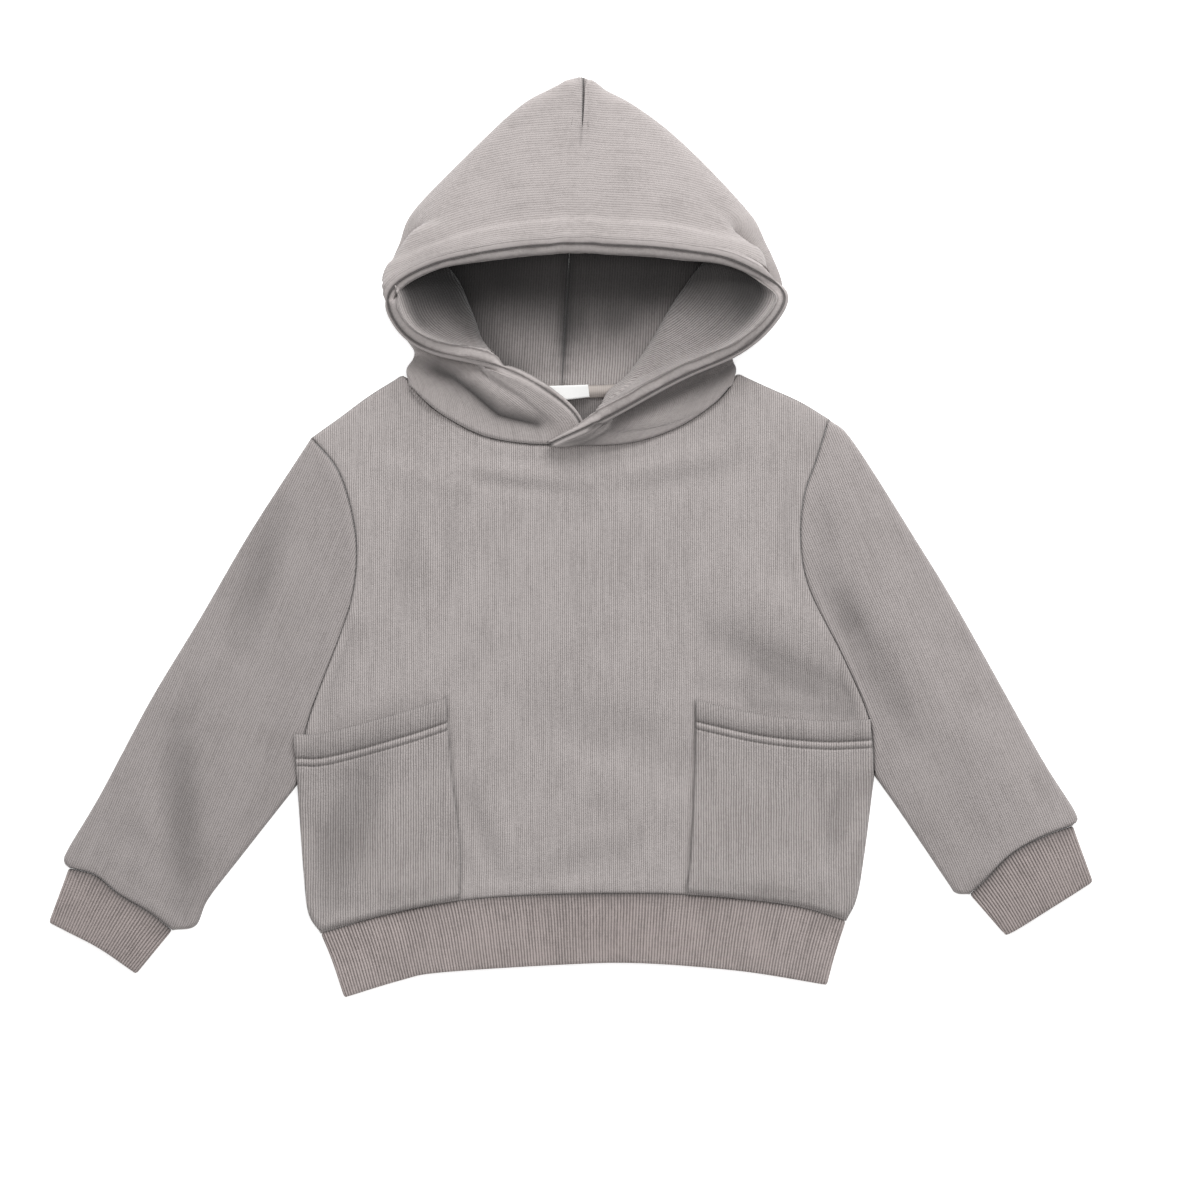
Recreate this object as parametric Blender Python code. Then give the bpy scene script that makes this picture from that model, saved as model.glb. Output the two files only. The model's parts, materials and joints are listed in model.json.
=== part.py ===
"""Toddler hoodie in heavy sweatshirt cloth, laid flat on a table with its front up.

The hem points to -Y, the hood lies open at +Y, and the back rests on Z = 0.
Every piece is a wall of cloth. Outlines and sections are given in millimetres.
"""

import math

import bmesh
import bpy
from mathutils import Matrix, Vector

MM = 0.001

# Cloth, in millimetres.
WALL = 2.1           # brushed sweatshirt cloth
RIB_WALL = 2.3       # doubled 1x1 rib
SEAM_GAP = 0.3       # between pieces that are sewn together
PATCH_GAP = 0.45     # under a patch pocket
LEAN_LIMIT = 1.5     # most that a wall's corner is drawn out to keep its thickness
TAPE_WALL = 1.0
LABEL_WALL = 0.8
POCKET_WALL = 2.0

# How the front lies over the back.
FRONT_LOW = WALL + SEAM_GAP      # underside of the front along the side seams
FRONT_RISE = 3.4                 # extra height of the front's middle
SHOULDER_FADE = 14.0             # reach of the slope down to the shoulder seams
EDGE_RADIUS = 2.8                # folded edge of a sleeve, a cuff or the hem band
SLEEVE_CROWN = 2.5
CUFF_CROWN = 2.4

# The hood's cloth is a pair: outer and lining, on either side of one middle surface.
PAIR_GAP = 0.15                  # from the middle surface to each layer
ROLL_WIDTH = 14.0                # turned-in allowance along the face edge
ROLL_BULGE = 1.4                 # extra thickness of each layer over that allowance
FLOOR_Z = PAIR_GAP + WALL        # middle surface of the layer on the table
STEP_Z = 6.6                     # height of one folded layer of the pair
PLEAT_LOW_Z = FLOOR_Z + STEP_Z
PLEAT_HIGH_Z = PLEAT_LOW_Z + STEP_Z
ROOF_SIDE_Z = PLEAT_HIGH_Z + STEP_Z
SEAM_HALF = 0.2                  # half of the slit along the centre-back seam
FOLD_INSET = 3.0                 # from a fold's outline in to the middle surface
NECK_INSET = 0.6                 # from the neckline in to the hood
NECK_END = 0.045                 # share of the neckline left clear at the side folds
FRONT_OVERLAP = (0.535, 0.445)   # where the left and right fronts start on the neckline

# Plan outlines, as (x, y) in millimetres. Left and right are as seen from above.
NECKLINE = [(-108, 104), (-97, 91), (-84, 80), (-58, 66), (-30, 60.5), (0, 60), (40, 62),
            (70, 72), (95, 89), (107, 105)]
BACK_NECK = [(-108, 104), (-97, 100), (-60, 96.5), (0, 94), (60, 96.5), (96, 100), (107, 105)]
SHOULDER_LEFT = [(-166, 64), (-148, 77), (-129, 91), (-108, 104)]
SHOULDER_RIGHT = [(107, 105), (127, 96), (147, 87), (165, 76)]
ARMHOLE_LEFT = [(-175, -158), (-168, -117), (-149, -66), (-140, -38), (-137, -8), (-141, 20),
                (-150, 45), (-166, 64)]
ARMHOLE_RIGHT = [(194, -152), (191, -117), (175, -78), (153, -34), (147, -4), (149, 26),
                 (157, 50), (165, 76)]
SIDE_LEFT = [(-160, -253), (-168, -240), (-171, -214), (-175, -158)]
SIDE_RIGHT = [(176, -245), (183, -230), (188, -200), (194, -152)]
HEM_SEAM = [(-160, -253), (-122, -242), (-71, -232), (-10, -228), (70, -228), (140, -235),
            (176, -245)]
HEM_END = [(-145, -294), (-109, -283), (-84, -278), (-7, -273), (44, -272), (108, -277),
           (164, -286)]
HEM_SIDE_LEFT = [(-159, -254), (-153, -270), (-145, -294)]
HEM_SIDE_RIGHT = [(176, -246), (169, -267), (164, -286)]

# Sleeves: shoulder side first, from the armhole to the cuff.
OVERARM_LEFT = [(-166, 64), (-205, 4), (-237, -51), (-269, -104), (-301, -164), (-322, -197),
                (-321, -211)]
UNDERARM_LEFT = [(-175, -158), (-212, -205), (-232, -231), (-240, -248), (-255, -251)]
CUFF_SEAM_LEFT = [(-321, -211), (-304, -216), (-289, -228), (-269, -240), (-255, -251)]
CUFF_END_LEFT = [(-334, -246), (-322, -252), (-301, -263), (-278, -279)]
OVERARM_RIGHT = [(165, 76), (181, 61), (223, -5), (249, -48), (300, -139), (323, -176),
                 (321, -184)]
UNDERARM_RIGHT = [(194, -152), (211, -176), (240, -219), (246, -227), (255, -228)]
CUFF_SEAM_RIGHT = [(321, -184), (300, -192), (281, -203), (265, -219), (255, -228)]
CUFF_END_RIGHT = [(334, -220), (307, -237), (281, -253), (276, -252)]

# Patch pockets: top edge, inner edge and the edge along the side seam, bottom last.
POCKET_LEFT = {
    "top": [(-169, -126), (-154, -125), (-109, -112), (-81, -104)],
    "inner": [(-81, -104), (-76, -152), (-71, -195), (-71, -230)],
    "side": [(-169, -126), (-173.5, -158), (-171, -214), (-168, -238), (-160, -251)],
    "hem": [(-160, -251), (-122, -241), (-71, -230)],
}
POCKET_RIGHT = {
    "top": [(80, -104), (121, -113), (160, -117), (189.5, -116)],
    "inner": [(80, -104), (79, -150), (77, -195), (74, -226.5)],
    "side": [(189.5, -116), (192.5, -152), (187, -200), (182, -230), (176, -243)],
    "hem": [(74, -226.5), (140, -233.5), (176, -243)],
}

# Neck tape: (distance across the seam, z) of its lower edge, its bend and its upper edge.
TAPE_SECTION = [(-4.5, 2.5), (-0.8, 4.75), (3.5, 4.75)]
LABEL_CORNERS = [(-20, 97), (11, 98), (-17, 86.5), (12, 90)]
LABEL_Z = 6.05

# Hood sections, from the neckline (first row) to the crown. Each row is one path across a
# side panel: rim (the face edge), corner (where the panel turns over at the side of the
# face edge), crease (the inner fold that the pleat makes), mid, side (the outer fold) and
# seam_y (centre-back seam). A crease or corner that is None isn't folded in that row.
LEFT_SECTIONS = [
    # rim             corner             crease            mid              side        seam_y
    ((12, 62, 6.6), (-12, 60.5, 6.6), (-38, 61, 6.8), (-73, 73.5, 7.2), (-108.5, 104), 96),
    ((5, 77, 8.8), (-15, 73, 8.4), (-50, 78, 8.8), (-78, 92, 9.0), (-106, 108), 100),
    ((-12, 92, 12.4), (-27, 86, 12.8), (-48, 87, 13), (-78, 103, 11), (-103, 112), 105),
    ((-36, 107, 17), (-45, 104, 16.5), (-56, 104, 15), (-80, 110, 11), (-101, 116), 111),
    ((-60, 116, 20), None, (-51, 119.5, None), (-78, 116, None), (-101, 121), 118),
    ((-84, 119, 21), None, (-56, 127, None), (-82, 124, None), (-106, 128), 126),
    ((-104, 127, 21.5), None, (-60, 139, None), (-87, 137, None), (-112, 138), 137),
    ((-115, 142, 22), None, (-65, 151, None), (-92, 150, None), (-117, 149), 149),
    ((-117, 155, 24), (-114, 163, 21), (-70, 163, None), (-95, 162, None), (-119, 160), 161),
    ((-107, 166, 25.5), (-119, 171, None), (-79, 175, None), (-98, 174, None), (-117, 171), 174),
    ((-86, 176, 27.5), (-111, 188, None), (-90, 189, None), (-101, 188, None), (-110, 189), 188),
    ((-71, 180, 29), (-95, 201, 22.5), (-93, 203, 17), (-96, 204, 12), (-101, 205), 200),
    ((-58, 183, 30), None, None, None, (-91, 220, 17), 214),
    ((-38, 186, 31.5), None, None, None, (-61, 250, 13), 240),
    ((-23, 187.5, 32), None, None, None, (-33, 277, 10.5), 264),
    ((-13, 188, 32), None, None, None, (-12, 290.6, 9), 283),
]
RIGHT_SECTIONS = [
    ((-10, 60.5, 15.2), (10, 61.5, 14.4), (36, 62, 9.8), (70, 72.5, 7.2), (107, 104.5), 96),
    ((1, 68, 20), (12, 66.5, 15.6), (44, 69.5, 9.8), (71, 78, 8.4), (106, 108), 100),
    ((13, 75, 21.5), (16, 74.5, 18), (25, 74, 14.5), (70, 84, 9), (105, 111), 105),
    ((32, 85, 21.5), None, (20, 90, None), (68, 92, 9.2), (104, 114), 110),
    ((54, 98, 21), None, (31, 100, None), (74, 102, 9.0), (104, 118), 115),
    ((78, 110, 21.5), None, (40, 114, None), (82, 113, None), (108, 122), 122),
    ((102, 119, 22), None, (49, 130, None), (86, 128, None), (116, 129), 131),
    ((121, 129, 22.5), None, (58, 146, None), (94, 142, None), (126, 138), 141),
    ((132, 143, 23), None, (67, 160, None), (101, 155, None), (132, 150), 152),
    ((135, 156, 23.5), None, (75, 172, None), (106, 166, None), (134, 161), 165),
    ((123, 168, 25.5), (133, 174, None), (87, 184, None), (110, 180, None), (131, 175), 180),
    ((100, 180, 28), (123, 193, None), (107, 194, None), (115, 194, None), (122, 194), 196),
    ((75, 184, 30), None, None, None, (99, 225, 17), 220),
    ((54, 186.5, 31.5), None, None, None, (67, 257, 12), 244),
    ((36, 187.5, 32), None, None, None, (40, 278, 10), 264),
    ((22, 188, 32), None, None, None, (20, 289.6, 9), 283),
]
CROWN_RIM = (4, 189, 32)         # middle of the face edge
DART_END = (6, 259, 17.0)        # where it runs out on the roof
SEAM_X = [(94, -6), (150, -3), (182, -1), (262, 1), (293, 4)]     # (y, x) of the seam

# Heavy brushed cotton in greige, a slightly darker rib and a white label.
BODY_COLOUR = (0.40, 0.37, 0.36, 1.0)
RIB_COLOUR = (0.30, 0.27, 0.26, 1.0)
TAPE_COLOUR = (0.55, 0.50, 0.46, 1.0)
LABEL_COLOUR = (0.80, 0.80, 0.78, 1.0)


# Curves and patches ------------------------------------------------------------------

def smooth_run(points, steps=12):
    """A Catmull-Rom curve through points, as a dense list."""
    knots = [Vector(p) for p in points]
    if len(knots) == 2:
        return [knots[0].lerp(knots[1], i / steps) for i in range(steps + 1)]
    ends = [knots[0] * 2 - knots[1]] + knots + [knots[-1] * 2 - knots[-2]]
    dense = []
    for a, b, c, d in zip(ends, ends[1:], ends[2:], ends[3:]):
        for i in range(steps):
            t = i / steps
            dense.append(0.5 * (2 * b + (c - a) * t + (2 * a - 5 * b + 4 * c - d) * t ** 2
                                + (3 * b - a - 3 * c + d) * t ** 3))
    return dense + [knots[-1]]


def by_length(points):
    """A function of 0 to 1 that walks along points at an even pace."""
    reach = [0.0]
    for a, b in zip(points, points[1:]):
        reach.append(reach[-1] + (b - a).length)

    def walk(u):
        target = min(max(u, 0.0), 1.0) * reach[-1]
        for i in range(1, len(reach)):
            if reach[i] >= target:
                span = reach[i] - reach[i - 1]
                return points[i - 1].lerp(points[i], (target - reach[i - 1]) / span if span else 0)
        return points[-1]
    return walk


def edge(*runs):
    """One edge of a panel from runs of (points, share of the edge's parameter)."""
    walks = [(by_length(smooth_run(points)), share) for points, share in runs]

    def at(u):
        start = 0.0
        for walk, share in walks:
            if u <= start + share + 1e-9 or walk is walks[-1][0]:
                return walk((u - start) / share)
            start += share
    return at


def patch(low, high, left, right):
    """A Coons patch between four edges: low and high run in u, left and right in v."""
    def at(u, v):
        ruled_v = low(u) * (1 - v) + high(u) * v
        ruled_u = left(v) * (1 - u) + right(v) * u
        corners = ((low(0) * (1 - u) + low(1) * u) * (1 - v)
                   + (high(0) * (1 - u) + high(1) * u) * v)
        return ruled_v + ruled_u - corners
    return at


def read_table(table, key):
    """Straight-line reading of (key, value) rows in rising order of key."""
    for (k0, v0), (k1, v1) in zip(table, table[1:]):
        if key <= k1:
            return v0 + (v1 - v0) * max(key - k0, 0) / (k1 - k0)
    return table[-1][1]


# Solids ------------------------------------------------------------------------------

def material(name, colour, roughness):
    made = bpy.data.materials.new(name)
    made.use_nodes = True
    shader = made.node_tree.nodes["Principled BSDF"]
    shader.inputs["Base Color"].default_value = colour
    shader.inputs["Roughness"].default_value = roughness
    shader.inputs["Metallic"].default_value = 0.0
    return made


def way_out(vertex):
    """The direction that leans least away from the faces round a point, scaled to keep a wall even."""
    sides = [face.normal for face in vertex.link_faces]
    way = vertex.normal.copy()
    for step in range(24):
        worst = min(sides, key=way.dot)
        way = (way + worst * (0.5 / (step + 2))).normalized()
    lean = max(min(way.dot(side) for side in sides), 1 / LEAN_LIMIT)
    return way / lean


def cloth(name, columns, rows, place, under, over, finish, up_cell, closed=False, level=None):
    """A wall of cloth on a grid of columns by rows cells.

    place(i, j) gives the surface in millimetres, and the wall lies between under and over
    beside it, along its normal, which looks up at up_cell. under and over are numbers or
    functions of (i, j). A closed wall joins its last column to its first, as a tube. level(i, j)
    says which points move straight up or down instead, as along a seam.
    """
    shell = bmesh.new()
    tag = shell.verts.layers.int.new("cell")
    bmesh.ops.create_grid(shell, x_segments=columns, y_segments=rows, size=1.0)
    for vertex in shell.verts:
        i = round((vertex.co.x + 1) / 2 * columns)
        j = round((vertex.co.y + 1) / 2 * rows)
        vertex.co = place(i, j)
        vertex[tag] = i * 1000 + j
    if closed:
        last = [v for v in shell.verts if v[tag] // 1000 == columns]
        first = {v[tag]: v for v in shell.verts if v[tag] // 1000 == 0}
        bmesh.ops.weld_verts(shell, targetmap={v: first[v[tag] % 1000] for v in last})
    bmesh.ops.triangulate(shell, faces=list(shell.faces), quad_method="SHORT_EDGE")
    shell.normal_update()
    marker = next(v for v in shell.verts if v[tag] == up_cell[0] * 1000 + up_cell[1])
    if marker.normal.z < 0:
        bmesh.ops.reverse_faces(shell, faces=list(shell.faces))
        shell.normal_update()
    reach = {}
    for vertex in shell.verts:
        i, j = divmod(vertex[tag], 1000)
        way = way_out(vertex)
        if level and level(i, j):
            way = Vector((0, 0, math.copysign(1, way.z)))
        low = under(i, j) if callable(under) else under
        high = over(i, j) if callable(over) else over
        reach[vertex[tag]] = (vertex.co + way * low, vertex.co + way * high)
    sheet = list(shell.faces)
    grown = bmesh.ops.extrude_face_region(shell, geom=sheet, use_keep_orig=True)
    upper = {item for item in grown["geom"] if isinstance(item, bmesh.types.BMVert)}
    for vertex in shell.verts:
        low, high = reach[vertex[tag]]
        spot = high if vertex in upper else low
        vertex.co = Vector((spot.x, spot.y, max(spot.z, 0.0))) * MM
    bmesh.ops.recalc_face_normals(shell, faces=list(shell.faces))
    if shell.calc_volume(signed=True) < 0:
        bmesh.ops.reverse_faces(shell, faces=list(shell.faces))
    mesh = bpy.data.meshes.new(name)
    shell.to_mesh(mesh)
    shell.free()
    mesh.materials.append(finish)
    mesh.shade_smooth()
    piece = bpy.data.objects.new(name, mesh)
    garment.objects.link(piece)
    return piece


# The front's height over the table ---------------------------------------------------

LEFT_LIMIT = [(-253, -160), (-214, -171), (-158, -175), (-117, -168), (-66, -149), (-8, -137),
              (45, -150), (64, -166)]
RIGHT_LIMIT = [(-245, 176), (-200, 188), (-152, 194), (-117, 191), (-78, 175), (-4, 147),
               (50, 157), (76, 165)]


def distance_to_run(x, y, start, end):
    start, end, point = Vector(start), Vector(end), Vector((x, y))
    line = end - start
    share = min(max((point - start).dot(line) / line.length_squared, 0), 1)
    return (point - start - line * share).length


def front_height(x, y):
    """Underside of the front panel: low at the side seams and shoulders, higher between."""
    left, right = read_table(LEFT_LIMIT, y), read_table(RIGHT_LIMIT, y)
    across = min(max((x - left) / (right - left), 0), 1)
    crown = 1 - abs(2 * across - 1) ** 4
    arm = math.sin(math.pi * min(max((y + 155) / 225, 0), 1)) ** 0.8
    shoulder = min(distance_to_run(x, y, SHOULDER_LEFT[0], SHOULDER_LEFT[-1]),
                   distance_to_run(x, y, SHOULDER_RIGHT[0], SHOULDER_RIGHT[-1]))
    fade = 1 - math.exp(-shoulder / SHOULDER_FADE)
    return FRONT_LOW + FRONT_RISE * (1 - (1 - crown) * (1 - arm)) * fade


# Body --------------------------------------------------------------------------------

SIDE_ROWS, ARM_ROWS = 3, 6               # grid rows below and above the underarm
SHOULDER_COLUMNS, NECK_COLUMNS = 4, 11   # grid columns along each shoulder and the neckline
BODY_ROWS = SIDE_ROWS + ARM_ROWS
BODY_COLUMNS = 2 * SHOULDER_COLUMNS + NECK_COLUMNS


def body_plan(neck):
    side, shoulder = SIDE_ROWS / BODY_ROWS, SHOULDER_COLUMNS / BODY_COLUMNS
    low = edge((HEM_SEAM, 1.0))
    high = edge((SHOULDER_LEFT, shoulder), (neck, 1 - 2 * shoulder), (SHOULDER_RIGHT, shoulder))
    left = edge((SIDE_LEFT, side), (ARMHOLE_LEFT, 1 - side))
    right = edge((SIDE_RIGHT, side), (ARMHOLE_RIGHT, 1 - side))
    return patch(low, high, left, right)


def body_panel(name, neck, height):
    plan = body_plan(neck)

    def place(i, j):
        spot = plan(i / BODY_COLUMNS, j / BODY_ROWS)
        return Vector((spot.x, spot.y, height(spot.x, spot.y)))

    def on_edge(i, j):
        return i in (0, BODY_COLUMNS) or j in (0, BODY_ROWS)
    return cloth(name, BODY_COLUMNS, BODY_ROWS, place, 0, WALL, body_cloth,
                 (BODY_COLUMNS // 2, 1), level=on_edge)


# Flattened tubes ---------------------------------------------------------------------

def flat_ring(width, crown, cells):
    """(share of width, z) points round a tube that lies flat, from its first edge over the top.

    The top and the bottom have points at every 1 / cells of the width, and each edge is folded
    round EDGE_RADIUS.
    """
    r = EDGE_RADIUS
    inset = r / width
    near = (r - r * math.cos(math.radians(45))) / width
    low, high = r - r * math.sin(math.radians(45)), r + r * math.sin(math.radians(45))
    inner = [k / cells for k in range(1, cells)]

    def top(u):
        share = (u - inset) / (1 - 2 * inset)
        return 2 * r + crown * (1 - abs(2 * share - 1) ** 3)
    ring = [(0.0, r), (near, high), (inset, 2 * r)] + [(u, top(u)) for u in inner]
    ring += [(1 - inset, 2 * r), (1 - near, high), (1.0, r), (1 - near, low), (1 - inset, 0.0)]
    ring += [(u, 0.0) for u in reversed(inner)]
    return ring + [(inset, 0.0), (near, low)]


def flat_tube(name, plan, rows, wall, crown, finish, cells):
    """A tube pressed flat. plan(u, v) runs across in u and along the tube in v."""
    rings = []
    for j in range(rows + 1):
        v = j / rows
        width = (plan(1, v) - plan(0, v)).length
        rings.append([(plan(u, v), z) for u, z in flat_ring(width, crown(v), cells)])
    columns = len(rings[0])

    def place(i, j):
        spot, z = rings[j][i % columns]
        return Vector((spot.x, spot.y, z))
    return cloth(name, columns, rows, place, -wall, 0, finish, (2 + cells // 2, 0), closed=True)


def shifted(points, gap):
    """A run moved by gap, which leaves a seam's gap to the piece that shares it."""
    return [(x + gap[0], y + gap[1]) for x, y in points]


def sleeve(name, armhole, over, under, cuff_seam, away):
    start = shifted(list(reversed(armhole)), away)
    plan = patch(edge((start, 1.0)), edge((cuff_seam, 1.0)),
                 edge(([start[0]] + over[1:], 1.0)), edge(([start[-1]] + under[1:], 1.0)))

    def crown(v):
        return SLEEVE_CROWN * (1 - 0.35 * v ** 6)
    return flat_tube(name, plan, 7, WALL, crown, body_cloth, ARM_ROWS)


def cuff(name, seam, end, away):
    start = shifted(seam, away)
    plan = patch(edge((start, 1.0)), edge((end, 1.0)),
                 edge(([start[0], end[0]], 1.0)), edge(([start[-1], end[-1]], 1.0)))
    return flat_tube(name, plan, 3, RIB_WALL, lambda v: CUFF_CROWN, rib_cloth, ARM_ROWS)


def hem_band():
    start = shifted(HEM_SEAM, (0, -SEAM_GAP * 1.8))
    left, right = [start[0]] + HEM_SIDE_LEFT[1:], [start[-1]] + HEM_SIDE_RIGHT[1:]
    plan = patch(edge((start, 1.0)), edge((HEM_END, 1.0)), edge((left, 1.0)), edge((right, 1.0)))
    return flat_tube("hem_band", plan, 2, RIB_WALL, lambda v: FRONT_RISE - 0.6, rib_cloth,
                     BODY_COLUMNS)


# Pockets, tape and label -------------------------------------------------------------

def pocket(name, edges, mirrored):
    """A patch that follows the front panel, moved out from it."""
    plan = patch(edge((edges["hem"], 1.0)), edge((edges["top"], 1.0)),
                 edge((list(reversed(edges["inner" if mirrored else "side"])), 1.0)),
                 edge((list(reversed(edges["side" if mirrored else "inner"])), 1.0)))
    columns, rows = 7, 8

    def place(i, j):
        spot = plan(i / columns, j / rows)
        return Vector((spot.x, spot.y, front_height(spot.x, spot.y) + WALL + PATCH_GAP))
    return cloth(name, columns, rows, place, 0, POCKET_WALL, body_cloth, (3, 3))


def neck_tape():
    """Tape over the seam between the back neck and the hood, from shoulder to shoulder."""
    walk = neck_walk(BACK_NECK)

    def place(i, j):
        spot = walk(0.1 + 0.8 * i / 12)
        across, height = TAPE_SECTION[j]
        return Vector((spot.x, spot.y + across, height))
    return cloth("neck_tape", 12, 2, place, 0, TAPE_WALL, tape_cloth, (6, 1))


def neck_label():
    """A small woven label that hangs from the tape, left blank."""
    top, bottom = LABEL_CORNERS[:2], LABEL_CORNERS[2:]

    def place(i, j):
        low = Vector(bottom[0]).lerp(Vector(bottom[1]), i / 4)
        high = Vector(top[0]).lerp(Vector(top[1]), i / 4)
        spot = low.lerp(high, j / 2)
        return Vector((spot.x, spot.y, LABEL_Z))
    return cloth("neck_label", 4, 2, place, 0, LABEL_WALL, label_cloth, (2, 1))


# Hood --------------------------------------------------------------------------------

PLAIN_COLUMNS = [0, 4, 8, 10, 11]        # rim, corner, crease, mid and the side fold's start
SIDE, SEAM = 12, 16                      # the side fold's outermost point and the last column
ROLL_COLUMNS = 3                         # columns over which the face edge is thicker


def fold(before, at, after, high, low):
    """Three points round a folded edge: in at height high, out at height low.

    The outline gives the cloth's outer face, so the middle surface lies FOLD_INSET inside it.
    """
    radius = abs(high - low) / 2
    inward = (Vector(before[:2]) - Vector(at[:2])).normalized()
    back = (Vector(after[:2]) - Vector(at[:2])).normalized()
    apex = Vector(at[:2]) + (inward + back).normalized() * FOLD_INSET
    enter, leave = apex + inward * radius, apex + back * radius
    return [Vector((enter.x, enter.y, high)), Vector((apex.x, apex.y, (high + low) / 2)),
            Vector((leave.x, leave.y, low))]


def spread(points, cells):
    """Even steps along a curve."""
    walk = by_length(smooth_run(points))
    return [walk(k / cells) for k in range(cells + 1)]


def stations(points, columns):
    """A curve through points, each of which keeps its own column of the grid."""
    steps = 12
    dense = smooth_run(points, steps)
    path = []
    for k, cells in enumerate(b - a for a, b in zip(columns, columns[1:])):
        walk = by_length(dense[k * steps:(k + 1) * steps + 1])
        path += [walk(n / cells) for n in range(cells)]
    return path + [dense[-1]]


def off_rim(rim, toward):
    """The rim and two points across the roll behind it."""
    rim, toward = Vector(rim), Vector(toward)
    way = (toward - rim)
    reach = way.length
    first = min(ROLL_WIDTH * 0.45, reach * 0.3)
    second = min(ROLL_WIDTH, reach * 0.6)
    return [rim, rim + way * (first / reach), rim + way * (second / reach)]


def roof_path(rim, side):
    """From the face edge over the roof to the side fold, as a shallow dome."""
    start, end = Vector(rim), Vector(side)
    points = []
    for k in range(9):
        u = k / 8
        spot = start.lerp(end, u)
        spot.z = end.z + (start.z - end.z) * (1 - u ** 1.35)
        points.append(spot)
    return points


def section(row, sign):
    """The seventeen points of one hood section, from the rim to the centre-back seam."""
    rim, corner, crease, mid, side, seam_y = row
    seam = Vector((read_table(SEAM_X, seam_y) + sign * SEAM_HALF, seam_y, FLOOR_Z))
    if crease is None:
        side_fold = fold(rim, side, seam, side[2], FLOOR_Z)
        roof = roof_path(rim, side_fold[0])
        path = off_rim(rim, roof[2]) + spread([off_rim(rim, roof[2])[2]] + roof[3:], 9)[1:]
        path = path[:11] + side_fold
    elif crease[2] is not None:
        side_fold = fold(mid, side, seam, PLEAT_LOW_Z, FLOOR_Z)
        path = stations([rim, corner, crease, mid, side_fold[0]], PLAIN_COLUMNS) + side_fold[1:]
    else:
        layer = mid[2] or PLEAT_LOW_Z
        side_fold = fold(mid, side, seam, PLEAT_LOW_Z, FLOOR_Z)
        if corner is None:
            crease_fold = fold(rim, crease, mid, layer + STEP_Z, layer)
            start = off_rim(rim, crease_fold[0])
            path = start + spread([start[2], crease_fold[0]], 5)[1:5] + crease_fold
        elif corner[2] is not None:
            crease_fold = fold(corner, crease, mid, layer + STEP_Z, layer)
            path = stations([rim, corner, crease_fold[0]], [0, 4, 7])[:7] + crease_fold
        else:
            corner_fold = fold(rim, corner, crease, ROOF_SIDE_Z, PLEAT_HIGH_Z)
            crease_fold = fold(corner, crease, mid, PLEAT_HIGH_Z, layer)
            start = off_rim(rim, corner_fold[0])
            funnel = corner_fold[2].lerp(crease_fold[0], 0.5)
            path = start + corner_fold + [funnel] + crease_fold
        path += [Vector((mid[0], mid[1], layer))] + side_fold
    floor = [side_fold[2].lerp(seam, share) for share in (1 / 3, 2 / 3, 1)]
    return path + floor


def neck_walk(neck):
    """Walks along the neckline's own facets, from its left end to its right end."""
    walk = by_length(smooth_run(neck))
    return by_length([walk(k / NECK_COLUMNS) for k in range(NECK_COLUMNS + 1)])


def sew_to_neck(path, sign):
    """Puts the first section's points just inside the front and back necklines."""
    front, back = neck_walk(NECKLINE), neck_walk(BACK_NECK)
    middle = Vector((0, 110))
    start = FRONT_OVERLAP[0] if sign < 0 else FRONT_OVERLAP[1]
    end = NECK_END if sign < 0 else 1 - NECK_END
    height = by_length(path[:SIDE])
    for k in range(SIDE):
        share = k / (SIDE - 1)
        spot = front(start + (end - start) * share)
        spot = spot + (middle - spot).normalized() * NECK_INSET
        path[k] = Vector((spot.x, spot.y, height(share).z))
    for k in (1, 2, 3, 4):
        share = NECK_END + (0.5 - NECK_END) * (k - 1) / 3
        spot = back(share if sign < 0 else 1 - share) + Vector((0, NECK_INSET))
        path[SIDE + k] = Vector((spot.x, spot.y, FLOOR_Z))
    path[SEAM].x = read_table(SEAM_X, path[SEAM].y) + sign * SEAM_HALF
    path[SIDE] = path[SIDE - 1] + Vector((sign * 0.4, 5.0, (FLOOR_Z - PLEAT_LOW_Z) / 2))
    path[SIDE + 1].y += 2.2
    return path


def crown_section(rim, knee, end, knee_column):
    """A path from the rim up the roof to a knee, and on to a point on or above the dart."""
    start, knee, end = Vector(rim), Vector(knee), Vector(end)
    points = []
    for k in range(knee_column + 1):
        u = (0.0, 0.06, 0.14)[k] if k < 3 else 0.14 + 0.86 * (k - 2) / (knee_column - 2)
        spot = start.lerp(knee, u)
        spot.z = knee.z + (start.z - knee.z) * (1 - u ** 1.2)
        points.append(spot)
    rest = SEAM - knee_column
    return points + [knee.lerp(end, k / rest) for k in range(1, rest + 1)]


def top_sections(sign):
    """The two sections that end at the peak and just over it, on one side of the dart."""
    middle = CROWN_RIM[0]
    apex = crown_section((middle + sign * 11, CROWN_RIM[1], CROWN_RIM[2]),
                         (middle + sign * 5, 285.2, 9.4), (middle + sign * SEAM_HALF, 290.0, 5.4), 11)
    over = crown_section((middle + sign * 5.5, CROWN_RIM[1], CROWN_RIM[2]),
                         (middle + sign * 5.5, 273.5, 12.2), (middle + sign * SEAM_HALF, 286.2, 9.6), 11)
    return [apex, over]


def hood_rows():
    left = [section(row, -1) for row in LEFT_SECTIONS]
    right = [section(row, 1) for row in RIGHT_SECTIONS]
    sew_to_neck(left[0], -1)
    sew_to_neck(right[0], 1)
    middle = crown_section(CROWN_RIM, DART_END, DART_END, SEAM - 1)
    middle = middle[:SEAM - 1] + [middle[SEAM - 2].lerp(middle[SEAM - 1], 0.5), middle[SEAM]]
    return left + top_sections(-1) + [middle] + list(reversed(right + top_sections(1)))


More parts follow.
